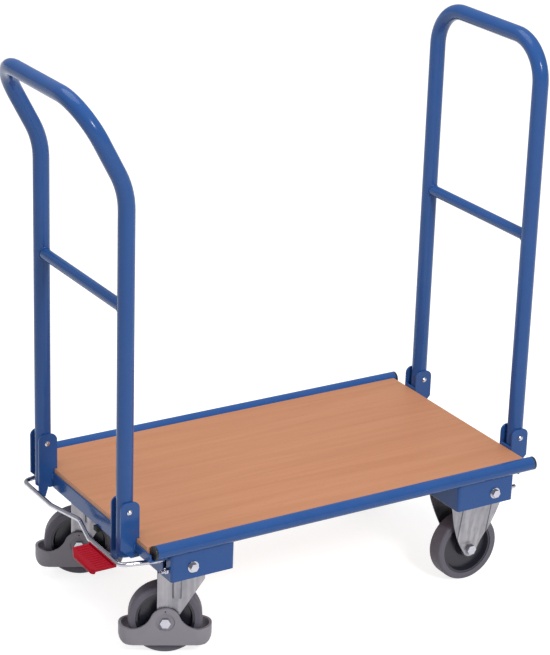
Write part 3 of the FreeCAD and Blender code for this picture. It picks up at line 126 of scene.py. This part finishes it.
class TrolleySizes(bpy.types.PropertyGroup):
    """Sizes of the details that are added to the solids."""
    sheet_edge: length("Sheet edge", "Rounding of the folded sheet's edges", 0.5 * MM)
    board_edge: length("Board edge", "Rounding of the deck's edges", 0.8 * MM)
    moulded_edge: length("Moulded edge", "Rounding of the plastic pieces' edges", 0.9 * MM)
    bolt_edge: length("Bolt edge", "Rounding of bolts and nuts", 0.4 * MM)
    bead: length("Weld bead", "Half width of a weld bead", 1.9 * MM)
    ripple: length("Weld ripple", "Pitch of the ripples in a weld bead", 2.6 * MM)
    stitch: length("Weld stitch", "Length of a weld at a hinge bracket", 11 * MM)
    upright: length("Upright", "Outside radius of the handle tubes", 14 * MM)
    stud: length("Stud", "Radius of the bolt ends at the castor boxes", 3.03 * MM)
    thread: length("Thread", "Length of the bolt ends outside their nuts", 7.6 * MM)
    pitch: length("Thread pitch", "Pitch of their thread", 1.0 * MM)
    stud_inset: length("Stud inset", "Bolt end from the box's outer side", 12 * MM)
    stud_rise: length("Stud height", "Bolt end above the box's underside", 18 * MM)
    rib: length("Rib", "Width of the pedal's ribs", 2.6 * MM)
    rib_rise: length("Rib height", "Ribs above the pedal's plate", 1.0 * MM)
    rib_pitch: length("Rib pitch", "Spacing of the pedal's ribs", 7.5 * MM)
    rib_inset: length("Rib inset", "Rib ends from the pedal's long edges", 14.5 * MM)
    pedal_sink: length("Pedal sink", "Pedal's plate below the top of its cradle", 3.5 * MM)


class StudioSettings(bpy.types.PropertyGroup):
    """Light, floor and camera."""
    floor: length("Floor", "Width of the floor", 60.0)
    floor_white: colour("Floor colour", "Floor of the studio", (0.55, 0.55, 0.55))
    floor_glow: FloatProperty(name="Floor glow", description="Lift of the floor towards white", default=0.8, min=0)
    daylight: FloatProperty(name="Room light", description="Light from all round", default=0.45, min=0)
    key: FloatProperty(name="Key lamp", description="Soft lamp at the front", default=60, min=0, unit="POWER")
    key_size: length("Key lamp size", "Width of the lamp at the front", 0.7)
    key_place: place("Key lamp place", "Place of the lamp at the front", (-0.1, -3.2, 2.6))
    fill: FloatProperty(name="Fill lamp", description="Soft lamp above and behind", default=45, min=0, unit="POWER")
    fill_size: length("Fill lamp size", "Width of the lamp above", 2.4)
    fill_place: place("Fill lamp place", "Place of the lamp above", (-0.4, 0.6, 3.4))
    camera_place: place("Camera", "Place of the camera", (-1.93312, -3.15306, 1.92425))
    camera_turn: FloatVectorProperty(
        name="Camera turn", description="Bearing, dip and roll of the camera", subtype="EULER", unit="ROTATION",
        default=(math.radians(31.691), math.radians(21.322), math.radians(1.867)))
    lens: FloatProperty(name="Lens", description="Focal length on a 36 mm frame", default=127.225, unit="CAMERA")


# Node helpers

class Tree:
    """Nodes of a material or a group."""
    def __init__(self, tree):
        self.tree = tree

    def add(self, kind, inputs=None, **settings):
        node = self.tree.nodes.new("ShaderNode" + kind)
        for key, value in settings.items():
            setattr(node, key, value)
        for key, value in (inputs or {}).items():
            self.feed(node, key, value)
        return node

    def feed(self, node, key, value):
        """Links an output to an input, or sets the input's value."""
        if isinstance(value, bpy.types.NodeSocket):
            self.tree.links.new(value, node.inputs[key])
        else:
            node.inputs[key].default_value = value

    def coords(self):
        return self.add("TexCoord").outputs["Object"]

    def noise(self, vector, scale, detail=2.0, roughness=0.5, distortion=0.0):
        node = self.add("TexNoise", {"Vector": vector, "Scale": scale, "Detail": detail, "Roughness": roughness,
                                     "Distortion": distortion})
        return node.outputs["Fac"]

    def stretch(self, vector, scale):
        return self.add("Mapping", {"Vector": vector, "Scale": scale}).outputs["Vector"]

    def range(self, value, low, high, to_low, to_high):
        node = self.add("MapRange", {"Value": value, "From Min": low, "From Max": high, "To Min": to_low,
                                     "To Max": to_high})
        return node.outputs["Result"]

    def math(self, operation, first, second):
        return self.add("Math", {0: first, 1: second}, operation=operation).outputs[0]

    def mix(self, factor, first, second, blend="MIX"):
        node = self.add("Mix", data_type="RGBA", blend_type=blend)
        self.feed(node, "Factor", factor)
        self.feed(node, MIX_FIRST, first)
        self.feed(node, MIX_SECOND, second)
        return node.outputs[MIX_RESULT]

    def spread(self, noise, to_low, to_high):
        """Most values of a noise, spread from one value to another."""
        return self.range(noise, NOISE_LOW, NOISE_HIGH, to_low, to_high)

    def bump(self, height, distance):
        return self.add("Bump", {"Height": height, "Distance": distance}).outputs["Normal"]


def rgba(value):
    return (*value, 1.0)


def group(name, inputs, outputs):
    """New node group with named inputs and outputs; returns its nodes, its inputs and its output node."""
    tree = bpy.data.node_groups.new(name, "ShaderNodeTree")
    for socket, (kind, value) in inputs.items():
        made = tree.interface.new_socket(socket, in_out="INPUT", socket_type="NodeSocket" + kind)
        made.default_value = value
    for socket, kind in outputs.items():
        tree.interface.new_socket(socket, in_out="OUTPUT", socket_type="NodeSocket" + kind)
    nodes = Tree(tree)
    return nodes, nodes.tree.nodes.new("NodeGroupInput").outputs, nodes.tree.nodes.new("NodeGroupOutput")


def moulding_group():
    """Fine skin of paint or moulded plastic: a height, and a slow drift from 0 to 1."""
    made = bpy.data.node_groups.get("fine_skin")
    if made:
        return made
    nodes, given, out = group("fine_skin", {"Grain": ("Float", 900.0), "Drift": ("Float", 9.0)},
                              {"Height": "Float", "Drift": "Float"})
    spot = nodes.coords()
    nodes.feed(out, "Height", nodes.noise(spot, given["Grain"], detail=3.0, roughness=0.6))
    nodes.feed(out, "Drift", nodes.noise(spot, given["Drift"], detail=4.0, roughness=0.55))
    return nodes.tree


def wear_group():
    """Handling marks: sparse fine scuffs, and dust that gathers in slow patches."""
    made = bpy.data.node_groups.get("handling_marks")
    if made:
        return made
    nodes, given, out = group("handling_marks", {"Scuffs": ("Float", 0.3), "Dust": ("Float", 0.3)},
                              {"Scuffs": "Float", "Dust": "Float"})
    spot = nodes.coords()
    lines = nodes.noise(nodes.stretch(spot, (40.0, 900.0, 120.0)), 1.0, detail=3.0, roughness=0.7, distortion=1.5)
    patches = nodes.noise(spot, 14.0, detail=3.0, roughness=0.6)
    sparse = nodes.range(patches, 0.55, 0.7, 0.0, 1.0)
    scuffs = nodes.math("MULTIPLY", nodes.range(lines, 0.62, 0.72, 0.0, 1.0), sparse)
    nodes.feed(out, "Scuffs", nodes.math("MULTIPLY", scuffs, given["Scuffs"]))
    dust = nodes.range(nodes.noise(spot, 22.0, detail=5.0, roughness=0.7), 0.45, 0.75, 0.0, 1.0)
    nodes.feed(out, "Dust", nodes.math("MULTIPLY", dust, given["Dust"]))
    return nodes.tree


def begin(name, **constants):
    """New material; constants are the sockets of its shader that are the same all over."""
    material = bpy.data.materials.new(name)
    material.use_nodes = True
    nodes = Tree(material.node_tree)
    shader = material.node_tree.nodes["Principled BSDF"]
    for key, value in constants.items():
        shader.inputs[key.replace("_", " ")].default_value = value
    return material, nodes, shader


def use_group(nodes, tree, **values):
    node = nodes.add("Group", node_tree=tree)
    for key, value in values.items():
        node.inputs[key].default_value = value
    return node.outputs


def skin(name, base, grain, roughness, depth, spread=0.06, tint=0.92, scuffs=0.25, dust=0.2, **constants):
    """Finish with a fine surface grain, a slow drift of tone and gloss, scuffs and dust."""
    material, nodes, shader = begin(name, **constants)
    fine = use_group(nodes, moulding_group(), Grain=grain)
    marks = use_group(nodes, wear_group(), Scuffs=scuffs, Dust=dust)
    deep = tuple(channel * tint for channel in base)
    pale = tuple(min(1.0, channel * 1.25 + 0.03) for channel in base)
    tone = nodes.mix(nodes.spread(fine["Drift"], 0.0, 1.0), rgba(deep), rgba(base))
    tone = nodes.mix(marks["Scuffs"], tone, rgba(pale))
    tone = nodes.mix(nodes.math("MULTIPLY", marks["Dust"], 0.12), tone, rgba(DUST))
    nodes.feed(shader, "Base Color", tone)
    rough = nodes.spread(fine["Drift"], roughness - spread, roughness + spread)
    rough = nodes.math("ADD", rough, nodes.math("MULTIPLY", marks["Dust"], 0.15))
    nodes.feed(shader, "Roughness", rough)
    nodes.feed(shader, "Normal", nodes.bump(fine["Height"], depth))
    return material


def beech(name, base, grain, pore, edge, top):
    """Printed beech with broad bands, fine lines and short dark flecks, and a paler strip below the top face."""
    material, nodes, shader = begin(name, Specular_IOR_Level=0.35)
    spot = nodes.coords()
    bands = nodes.noise(nodes.stretch(spot, (0.9, 16.0, 16.0)), 2.2, detail=4.0, roughness=0.55, distortion=0.9)
    lines = nodes.noise(nodes.stretch(spot, (5.0, 260.0, 260.0)), 1.0, detail=3.0, roughness=0.6, distortion=0.5)
    flecks = nodes.noise(nodes.stretch(spot, (95.0, 1100.0, 1100.0)), 1.0, detail=1.0)
    tone = nodes.mix(nodes.range(bands, 0.38, 0.66, 0.0, 0.62), rgba(base), rgba(grain))
    tone = nodes.mix(nodes.range(lines, 0.5, 0.8, 0.0, 0.42), tone, rgba(grain))
    fleck = nodes.range(flecks, 0.66, 0.76, 0.0, 0.5)
    tone = nodes.mix(fleck, tone, rgba(pore))
    marks = use_group(nodes, wear_group(), Scuffs=0.18, Dust=0.25)
    pale = tuple(min(1.0, channel * 1.15) for channel in base)
    tone = nodes.mix(marks["Scuffs"], tone, rgba(pale))
    level = nodes.add("SeparateXYZ", {"Vector": spot}).outputs["Z"]
    tone = nodes.mix(nodes.range(level, top - 1.0 * MM, top - 0.3 * MM, 1.0, 0.0), tone, rgba(edge))
    nodes.feed(shader, "Base Color", tone)
    rough = nodes.math("ADD", nodes.spread(lines, 0.4, 0.5), nodes.math("MULTIPLY", marks["Dust"], 0.12))
    nodes.feed(shader, "Roughness", rough)
    height = nodes.math("SUBTRACT", nodes.math("MULTIPLY", lines, 0.5), fleck)
    nodes.feed(shader, "Normal", nodes.bump(height, 0.06 * MM))
    return material


def plating(name, base, roughness, painted_reflection_bands=0.0):
    """Bright zinc plate: rolled lines, a cloudy bloom and a faint cool cast, with soft paler upright bands that are
    painted reflection.
    """
    material, nodes, shader = begin(name, Metallic=1.0)
    spot = nodes.coords()
    cloud = nodes.noise(spot, 55.0, detail=5.0, roughness=0.62, distortion=0.4)
    rolled = nodes.noise(nodes.stretch(spot, (700.0, 700.0, 16.0)), 1.0, detail=3.0, roughness=0.6)
    broad = nodes.noise(nodes.stretch(spot, (95.0, 95.0, 3.0)), 1.0)
    marks = use_group(nodes, wear_group(), Scuffs=0.35, Dust=0.3)
    cool = (base[0] * 0.86, base[1] * 0.88, base[2] * 0.93)
    tone = nodes.mix(nodes.range(cloud, 0.35, 0.68, 0.0, 1.0), rgba(base), rgba(cool))
    pale = tuple(min(1.0, channel * 1.5) for channel in base)
    # Painted reflection: soft paler upright bands, standing in for light caught on the pressed sheet
    tone = nodes.mix(nodes.range(broad, 0.42, 0.66, 0.0, painted_reflection_bands), tone, rgba(pale))
    tone = nodes.mix(nodes.math("MULTIPLY", marks["Dust"], 0.2), tone, rgba(ZINC_DUST))
    nodes.feed(shader, "Base Color", tone)
    rough = nodes.math("ADD", nodes.spread(cloud, roughness - 0.06, roughness + 0.08),
                       nodes.spread(rolled, -0.04, 0.05))
    nodes.feed(shader, "Roughness", nodes.math("ADD", rough, nodes.math("MULTIPLY", marks["Scuffs"], 0.15)))
    nodes.feed(shader, "Normal", nodes.bump(rolled, 0.02 * MM))
    return material


def finish(name):
    """The material of a finish, made the first time that it is asked for."""
    made = bpy.data.materials.get(name)
    if made:
        return made
    hues = bpy.context.scene.trolley_colours
    if name == "blue_powder_coat":
        return skin(name, tuple(hues.blue), grain=750.0, roughness=0.17, depth=0.008 * MM, spread=0.03,
                    Specular_IOR_Level=0.24)
    if name == "beech_decor":
        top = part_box("deck_board")[1][2]
        return beech(name, tuple(hues.board), tuple(hues.grain), tuple(hues.pore), tuple(hues.edge), top)
    if name == "bright_zinc":
        # The pressed castor parts get the paler upright bands of painted reflection
        return plating(name, tuple(hues.zinc), roughness=0.38, painted_reflection_bands=0.7)
    if name == "polished_zinc":
        return plating(name, tuple(hues.bright), roughness=0.2)
    if name == "grey_rubber":
        return skin(name, tuple(hues.tread), grain=1400.0, roughness=0.55, depth=0.08 * MM, tint=0.88, scuffs=0.45,
                    dust=0.6)
    if name == "dark_core":
        return skin(name, tuple(hues.core), grain=1200.0, roughness=0.3, depth=0.06 * MM, scuffs=0.3, dust=0.1)
    if name == "grey_moulding":
        return skin(name, tuple(hues.guard), grain=1500.0, roughness=0.48, depth=0.1 * MM, scuffs=0.3, dust=0.3)
    if name == "black_moulding":
        return skin(name, tuple(hues.black), grain=1300.0, roughness=0.4, depth=0.08 * MM, scuffs=0.3, dust=0.35)
    if name == "black_rubber":
        return skin(name, tuple(hues.black), grain=900.0, roughness=0.7, depth=0.12 * MM, scuffs=0.2, dust=0.5)
    if name == "red_moulding":
        return skin(name, tuple(hues.pedal), grain=1100.0, roughness=0.45, depth=0.08 * MM, scuffs=0.4, dust=0.15,
                    Specular_IOR_Level=0.15)
    raise RuntimeError(f"there is no finish named {name}")


def dress(name, nodes, edge=0.0, angle=32, flat=False):
    """Gives CAD nodes a finish, and rounds their sharp edges where an edge size is given."""
    for node in nodes:
        thing = NODES[node]
        thing.data.materials.clear()
        thing.data.materials.append(finish(name))
        if edge > 0:
            soften(thing, edge, angle, flat)


def soften(thing, edge, angle, flat):
    """Rounds a node's sharp edges; flat ones have the triangles of each plane made one face first."""
    weld = thing.modifiers.new("joined", "WELD")
    weld.merge_threshold = JOIN_GAP
    if flat:
        planes = thing.modifiers.new("planes", "DECIMATE")
        planes.decimate_type = "DISSOLVE"
        planes.angle_limit = LEVEL_ANGLE
    bevel = thing.modifiers.new("rounded", "BEVEL")
    bevel.width = edge
    bevel.segments = ROUNDING_STEPS
    bevel.limit_method = "ANGLE"
    bevel.angle_limit = math.radians(angle)
    bevel.use_clamp_overlap = True
    bevel.harden_normals = True


def sided(*names):
    return [f"{name}_{side}" for name in names for side in SIDES]


# Modelling helpers

def finish_piece(thing, name, finish_name, body):
    """Names a new piece, and gives it its finish and the body that it moves with."""
    thing.name = name
    thing.data.name = name
    thing.data.materials.clear()
    thing.data.materials.append(finish(finish_name))
    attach(thing, body)


def copy_piece(thing):
    """Copy of a piece with its own mesh, left selected alone."""
    bpy.ops.object.select_all(action="DESELECT")
    thing.select_set(True)
    bpy.context.view_layer.objects.active = thing
    bpy.ops.object.duplicate(linked=False)
    return bpy.context.object


def move_piece(thing, shift):
    bpy.ops.object.select_all(action="DESELECT")
    thing.select_set(True)
    bpy.context.view_layer.objects.active = thing
    bpy.ops.transform.translate(value=shift)
    bpy.ops.object.transform_apply(location=True, rotation=True, scale=True)


def pick(thing, wanted):
    """Selects the vertices of the mesh in edit mode that are wanted, by their place."""
    mesh = bmesh.from_edit_mesh(thing.data)
    for vertex in mesh.verts:
        vertex.select = wanted(vertex.co)
    mesh.select_flush_mode()
    bmesh.update_edit_mesh(thing.data)


def ribbed(radius, depth, centre, axis, pitch, swell, sides=BAR_SIDES):
    """Round bar along an axis, with ridges at a pitch and its ends drawn in; left as the active object."""
    turn = {"x": (0, math.pi / 2, 0), "z": (0, 0, 0)}[axis]
    along = "xyz".index(axis)
    bpy.ops.object.select_all(action="DESELECT")
    bpy.ops.mesh.primitive_cylinder_add(vertices=sides, radius=radius, depth=depth, location=centre, rotation=turn)
    thing = bpy.context.object
    bpy.ops.object.transform_apply(location=True, rotation=True, scale=True)
    bpy.ops.object.mode_set(mode="EDIT")
    bpy.ops.mesh.select_mode(type="EDGE")
    mesh = bmesh.from_edit_mesh(thing.data)
    for edge in mesh.edges:
        first, second = (vertex.co[along] for vertex in edge.verts)
        edge.select = abs(first - second) > depth / 2
    bmesh.update_edit_mesh(thing.data)
    spans = 2 * max(2, round(depth / pitch))
    bpy.ops.mesh.subdivide(number_cuts=spans - 1)
    bpy.ops.mesh.select_mode(type="VERT")
    for ring in range(spans + 1):
        middle = list(centre)
        middle[along] += depth * (ring / spans - 0.5)
        pick(thing, lambda spot: abs(spot[along] - middle[along]) < depth / spans / 4)
        size = BAR_END if ring in (0, spans) else (swell if ring % 2 else 1.0)
        bpy.ops.transform.resize(value=(size, size, size), center_override=middle)
    bpy.ops.object.mode_set(mode="OBJECT")
    bpy.ops.object.shade_smooth_by_angle(angle=BAR_SMOOTH)
    return thing


# Operators

class TROLLEY_OT_deck(bpy.types.Operator):
    """Finish of the deck board"""
    bl_idname = "trolley.deck"
    bl_label = "Deck board"

    def execute(self, context):
        dress("beech_decor", ["deck_board"], context.scene.trolley_sizes.board_edge)
        return {"FINISHED"}


class TROLLEY_OT_frame(bpy.types.Operator):
    """Finish of the rails, end rails, hinge brackets, castor boxes and rail caps"""
    bl_idname = "trolley.frame"
    bl_label = "Tube frame"

    def execute(self, context):
        sizes = context.scene.trolley_sizes
        dress("blue_powder_coat", sided("side_rail"))
        dress("blue_powder_coat", ["push_end_rail", "front_end_rail"], sizes.sheet_edge)
        dress("blue_powder_coat", sided("push_bracket", "front_bracket", "push_box", "front_box"), sizes.sheet_edge,
              flat=True)
        dress("blue_powder_coat", ["corner_angles"])
        dress("black_moulding", ["rail_caps"], sizes.moulded_edge)
        return {"FINISHED"}


class TROLLEY_OT_handles(bpy.types.Operator):
    """Finish of the push handle and the front handle"""
    bl_idname = "trolley.handles"
    bl_label = "Handles"

    def execute(self, context):
        dress("blue_powder_coat", ["push_tube", "push_crossbar", "front_tube", "front_crossbar"])
        return {"FINISHED"}


class TROLLEY_OT_fasteners(bpy.types.Operator):
    """Finish of the pivot bolts, box bolts and plate bolts with their nuts"""
    bl_idname = "trolley.fasteners"
    bl_label = "Bolts and nuts"

    def execute(self, context):
        edge = context.scene.trolley_sizes.bolt_edge
        dress("polished_zinc", ["pivot_bolts", "pivot_nuts", "box_bolts", "box_nuts", "plate_bolts", "plate_nuts"],
              edge)
        return {"FINISHED"}


class TROLLEY_OT_castors(bpy.types.Operator):
    """Finish of the forks, plates, pins and axles of the castors"""
    bl_idname = "trolley.castors"
    bl_label = "Castor forks"

    def execute(self, context):
        sizes = context.scene.trolley_sizes
        dress("bright_zinc", sided("fixed_fork", "swivel_fork", "swivel_plate"), sizes.sheet_edge, flat=True)
        dress("bright_zinc", ["king_pins"])
        dress("polished_zinc", ["fixed_axles", "fixed_axle_nuts", *sided("swivel_axle", "swivel_axle_nut")],
              sizes.bolt_edge)
        return {"FINISHED"}


class TROLLEY_OT_wheels(bpy.types.Operator):
    """Finish of the treads and the cores of the four wheels"""
    bl_idname = "trolley.wheels"
    bl_label = "Wheels"

    def execute(self, context):
        for wheel in sided("fixed_wheel", "swivel_wheel"):
            dress("grey_rubber", [wheel + "_tread"])
            dress("dark_core", [wheel + "_core"])
        return {"FINISHED"}


class TROLLEY_OT_guards(bpy.types.Operator):
    """Finish of the foot guards of the swivel castors"""
    bl_idname = "trolley.guards"
    bl_label = "Foot guards"

    def execute(self, context):
        dress("grey_moulding", sided("foot_guard"), context.scene.trolley_sizes.moulded_edge, flat=True)
        return {"FINISHED"}


class TROLLEY_OT_brake(bpy.types.Operator):
    """Finish of the brake bail, its pedal and cams, the plungers and the stop block"""
    bl_idname = "trolley.brake"
    bl_label = "Brake"

    def execute(self, context):
        sizes = context.scene.trolley_sizes
        dress("polished_zinc", ["bail_rod"])
        dress("bright_zinc", ["brake_cams", *sided("plunger")], sizes.bolt_edge)
        dress("red_moulding", ["pedal"], sizes.moulded_edge)
        dress("black_rubber", ["stop_block"], sizes.moulded_edge)
        return {"FINISHED"}


class TROLLEY_OT_pedal_ribs(bpy.types.Operator):
    """Grip ribs on the brake pedal's plate"""
    bl_idname = "trolley.pedal_ribs"
    bl_label = "Pedal ribs"

    def execute(self, context):
        sizes = context.scene.trolley_sizes
        low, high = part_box("pedal")
        level = high[2] - sizes.pedal_sink
        reach = high[0] - low[0] - 2 * sizes.rib_inset
        bpy.ops.object.select_all(action="DESELECT")
        bpy.ops.mesh.primitive_cube_add(
            size=1, location=((low[0] + high[0]) / 2, low[1] + sizes.rib_pitch, level),
            scale=(reach, sizes.rib, 2 * sizes.rib_rise))
        thing = bpy.context.object
        bpy.ops.object.transform_apply(location=True, rotation=True, scale=True)
        bpy.ops.object.mode_set(mode="EDIT")
        bpy.ops.mesh.select_mode(type="VERT")
        pick(thing, lambda spot: spot.z > level)
        bpy.ops.mesh.bevel(offset=RIB_ROUND * sizes.rib_rise, segments=RIB_STEPS, affect="EDGES")
        bpy.ops.object.mode_set(mode="OBJECT")
        row = thing.modifiers.new("row", "ARRAY")
        row.use_relative_offset = False
        row.use_constant_offset = True
        row.constant_offset_displace = (0, sizes.rib_pitch, 0)
        row.count = round((high[1] - low[1]) / sizes.rib_pitch) - 1
        bpy.ops.object.modifier_apply(modifier=row.name)
        bpy.ops.object.shade_smooth_by_angle(angle=RIB_SMOOTH)
        finish_piece(thing, "pedal_ribs", "red_moulding", "brake_bail")
        return {"FINISHED"}


class TROLLEY_OT_crossbar_welds(bpy.types.Operator):
    """Weld beads where the crossbars meet the uprights"""
    bl_idname = "trolley.crossbar_welds"
    bl_label = "Crossbar welds"

    def execute(self, context):
        sizes = context.scene.trolley_sizes
        bead = None
        for handle in ("push", "front"):
            low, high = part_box(handle + "_crossbar")
            centre = (Vector(low) + Vector(high)) / 2
            upright_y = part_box(handle + "_tube")[1][1] - sizes.upright
            for side, sign in SIDES.items():
                if bead is None:
                    first = Vector((centre.x, sign * upright_y, centre.z))
                    bead = self.saddle(first, (high[0] - low[0]) / 2, sizes)
                    thing = bead
                else:
                    thing = copy_piece(bead)
                    if sign > 0:
                        bpy.ops.transform.rotate(value=math.pi, orient_axis="Z", center_override=first)
                    move_piece(thing, Vector((centre.x, sign * upright_y, centre.z)) - first)
                finish_piece(thing, f"{handle}_crossbar_weld_{side}", "blue_powder_coat",
                             handle + "_handle")
        return {"FINISHED"}

    def saddle(self, spot, bar, sizes):
        """Bead round a bar whose end is coped to the upright at the spot."""
        rounds = 2 * round(math.pi * bar / sizes.ripple)
        reach = bar + sizes.bead * BEAD_OUT
        bpy.ops.object.select_all(action="DESELECT")
        bpy.ops.mesh.primitive_torus_add(location=spot, rotation=(math.pi / 2, 0, 0), major_radius=reach,
                                         minor_radius=sizes.bead, major_segments=rounds, minor_segments=BEAD_SIDES)
        thing = bpy.context.object
        bpy.ops.object.transform_apply(location=True, rotation=True, scale=True)
        bpy.ops.object.mode_set(mode="EDIT")
        bpy.ops.mesh.select_mode(type="VERT")
        for ring in range(rounds):
            angle = math.tau * ring / rounds
            middle = spot + Vector((reach * math.cos(angle), 0, reach * math.sin(angle)))
            pick(thing, lambda point: (point - middle).length < sizes.bead * RING_REACH
                 and abs(math.remainder(math.atan2(point.z - spot.z, point.x - spot.x) - angle, math.tau)) < RING_ANGLE)
            if ring % 2:
                bpy.ops.transform.resize(value=(BEAD_DIP, BEAD_DIP, BEAD_DIP), center_override=middle)
            rise = math.sqrt(sizes.upright ** 2 - min(abs(middle.x - spot.x), bar) ** 2)
            bpy.ops.transform.translate(value=(0, rise, 0))
        bpy.ops.object.mode_set(mode="OBJECT")
        bpy.ops.object.shade_smooth_by_angle(angle=BEAD_SMOOTH)
        return thing


class TROLLEY_OT_bracket_welds(bpy.types.Operator):
    """Short welds between the push-end rail and its hinge brackets"""
    bl_idname = "trolley.bracket_welds"
    bl_label = "Bracket welds"

    def execute(self, context):
        sizes = context.scene.trolley_sizes
        low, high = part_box("push_end_rail")
        level = high[2] - STITCH_DROP * sizes.stitch
        first = None
        for side in SIDES:
            for face, corner in zip(("right", "left"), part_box(f"push_bracket_{side}")):
                spot = Vector((low[0], corner[1], level))
                if first is None:
                    first = spot
                    bead = ribbed(sizes.bead, sizes.stitch, spot, "z", sizes.ripple, WELD_SWELL)
                    thing = bead
                else:
                    thing = copy_piece(bead)
                    move_piece(thing, spot - first)
                finish_piece(thing, f"push_bracket_weld_{face}_{side}", "blue_powder_coat", "chassis")
        return {"FINISHED"}


class TROLLEY_OT_threads(bpy.types.Operator):
    """Threads of the bolt ends that stand out of the castor boxes"""
    bl_idname = "trolley.threads"
    bl_label = "Bolt threads"

    def execute(self, context):
        sizes = context.scene.trolley_sizes
        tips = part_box("box_bolts")
        first = None
        for end, tip, inward in (("push", tips[0][0], 1), ("front", tips[1][0], -1)):
            for side, sign in SIDES.items():
                low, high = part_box(f"{end}_box_{side}")
                outer = low[1] if sign < 0 else high[1]
                spot = Vector((tip + inward * sizes.thread / 2, outer - sign * sizes.stud_inset,
                               low[2] + sizes.stud_rise))
                if first is None:
                    first = spot
                    bar = ribbed(sizes.stud, sizes.thread, spot, "x", sizes.pitch, THREAD_SWELL, THREAD_SIDES)
                    thing = bar
                else:
                    thing = copy_piece(bar)
                    move_piece(thing, spot - first)
                finish_piece(thing, f"{end}_box_thread_{side}", "polished_zinc", "chassis")
        return {"FINISHED"}


class TROLLEY_OT_stage(bpy.types.Operator):
    """Floor, light and camera of the studio"""
    bl_idname = "trolley.stage"
    bl_label = "Studio"

    def execute(self, context):
        studio = context.scene.trolley_studio
        context.scene.view_settings.view_transform = "Standard"
        self.floor(studio)
        self.room(context.scene, studio)
        self.lamp("key_lamp", studio.key_place, studio.key_size, studio.key)
        self.lamp("fill_lamp", studio.fill_place, studio.fill_size, studio.fill)
        self.camera(context.scene, studio)
        return {"FINISHED"}

    def floor(self, studio):
        bpy.ops.object.select_all(action="DESELECT")
        bpy.ops.mesh.primitive_plane_add(size=studio.floor)
        floor = bpy.context.object
        floor.name = "studio_floor"
        material, nodes, shader = begin("studio_floor", Roughness=FLOOR_ROUGHNESS)
        shader.inputs["Base Color"].default_value = rgba(studio.floor_white)
        path = nodes.add("LightPath").outputs
        seen = nodes.math("MAXIMUM", path["Is Camera Ray"], path["Is Glossy Ray"])
        seen = nodes.math("MAXIMUM", seen, path["Is Transmission Ray"])
        shader.inputs["Emission Color"].default_value = (1, 1, 1, 1)
        nodes.feed(shader, "Emission Strength", nodes.math("MULTIPLY", seen, studio.floor_glow))
        floor.data.materials.append(material)

    def room(self, scene, studio):
        world = bpy.data.worlds.new("studio_room")
        scene.world = world
        world.use_nodes = True
        nodes = Tree(world.node_tree)
        shade = world.node_tree.nodes["Background"]
        shade.inputs["Color"].default_value = (1, 1, 1, 1)
        path = nodes.add("LightPath").outputs
        seen = nodes.math("MAXIMUM", path["Is Camera Ray"], path["Is Transmission Ray"])
        nodes.feed(shade, "Strength", nodes.range(seen, 0.0, 1.0, studio.daylight, 1.0))

    def lamp(self, name, spot, size, power):
        bpy.ops.object.light_add(type="AREA", location=spot)
        lamp = bpy.context.object
        lamp.name = name
        lamp.data.shape = "DISK"
        lamp.data.size = size
        lamp.data.energy = power
        aim = LAMP_AIM - Vector(spot)
        lamp.rotation_euler = aim.to_track_quat("-Z", "Y").to_euler()

    def camera(self, scene, studio):
        bearing, dip, roll = studio.camera_turn
        ahead = Vector((math.sin(bearing) * math.cos(dip), math.cos(bearing) * math.cos(dip), -math.sin(dip)))
        right = Vector((math.cos(bearing), -math.sin(bearing), 0))
        above = right.cross(ahead)
        across = math.cos(roll) * right + math.sin(roll) * above
        upward = math.cos(roll) * above - math.sin(roll) * right
        bpy.ops.object.camera_add(location=studio.camera_place)
        camera = bpy.context.object
        camera.name = "studio_camera"
        camera.rotation_euler = Matrix((across, upward, -ahead)).transposed().to_euler()
        camera.data.sensor_width = FRAME_WIDTH
        camera.data.lens = studio.lens
        camera.data.clip_end = FAR_CLIP
        scene.camera = camera


PIECES = (TROLLEY_OT_deck, TROLLEY_OT_frame, TROLLEY_OT_handles, TROLLEY_OT_fasteners, TROLLEY_OT_castors,
          TROLLEY_OT_wheels, TROLLEY_OT_guards, TROLLEY_OT_brake, TROLLEY_OT_pedal_ribs,
          TROLLEY_OT_crossbar_welds, TROLLEY_OT_bracket_welds, TROLLEY_OT_threads, TROLLEY_OT_stage)


class TROLLEY_PT_panel(bpy.types.Panel):
    """Lists the trolley's pieces"""
    bl_idname = "TROLLEY_PT_panel"
    bl_label = "Folding platform trolley"
    bl_space_type = "VIEW_3D"
    bl_region_type = "UI"
    bl_category = "Trolley"

    def draw(self, context):
        for operator in PIECES:
            self.layout.operator(operator.bl_idname, text=operator.bl_label)
        scene = context.scene
        for settings in (scene.trolley_colours, scene.trolley_sizes, scene.trolley_studio):
            for key in settings.__annotations__:
                self.layout.prop(settings, key)


CLASSES = (TrolleyColours, TrolleySizes, StudioSettings, *PIECES, TROLLEY_PT_panel)


def register():
    for entry in CLASSES:
        bpy.utils.register_class(entry)
    bpy.types.Scene.trolley_colours = PointerProperty(type=TrolleyColours)
    bpy.types.Scene.trolley_sizes = PointerProperty(type=TrolleySizes)
    bpy.types.Scene.trolley_studio = PointerProperty(type=StudioSettings)


def unregister():
    del bpy.types.Scene.trolley_studio
    del bpy.types.Scene.trolley_sizes
    del bpy.types.Scene.trolley_colours
    for entry in reversed(CLASSES):
        bpy.utils.unregister_class(entry)


def main():
    register()
    for operator in PIECES:
        area, name = operator.bl_idname.split(".")
        getattr(getattr(bpy.ops, area), name)()
    bpy.context.view_layer.update()


if __name__ == "__main__":
    main()
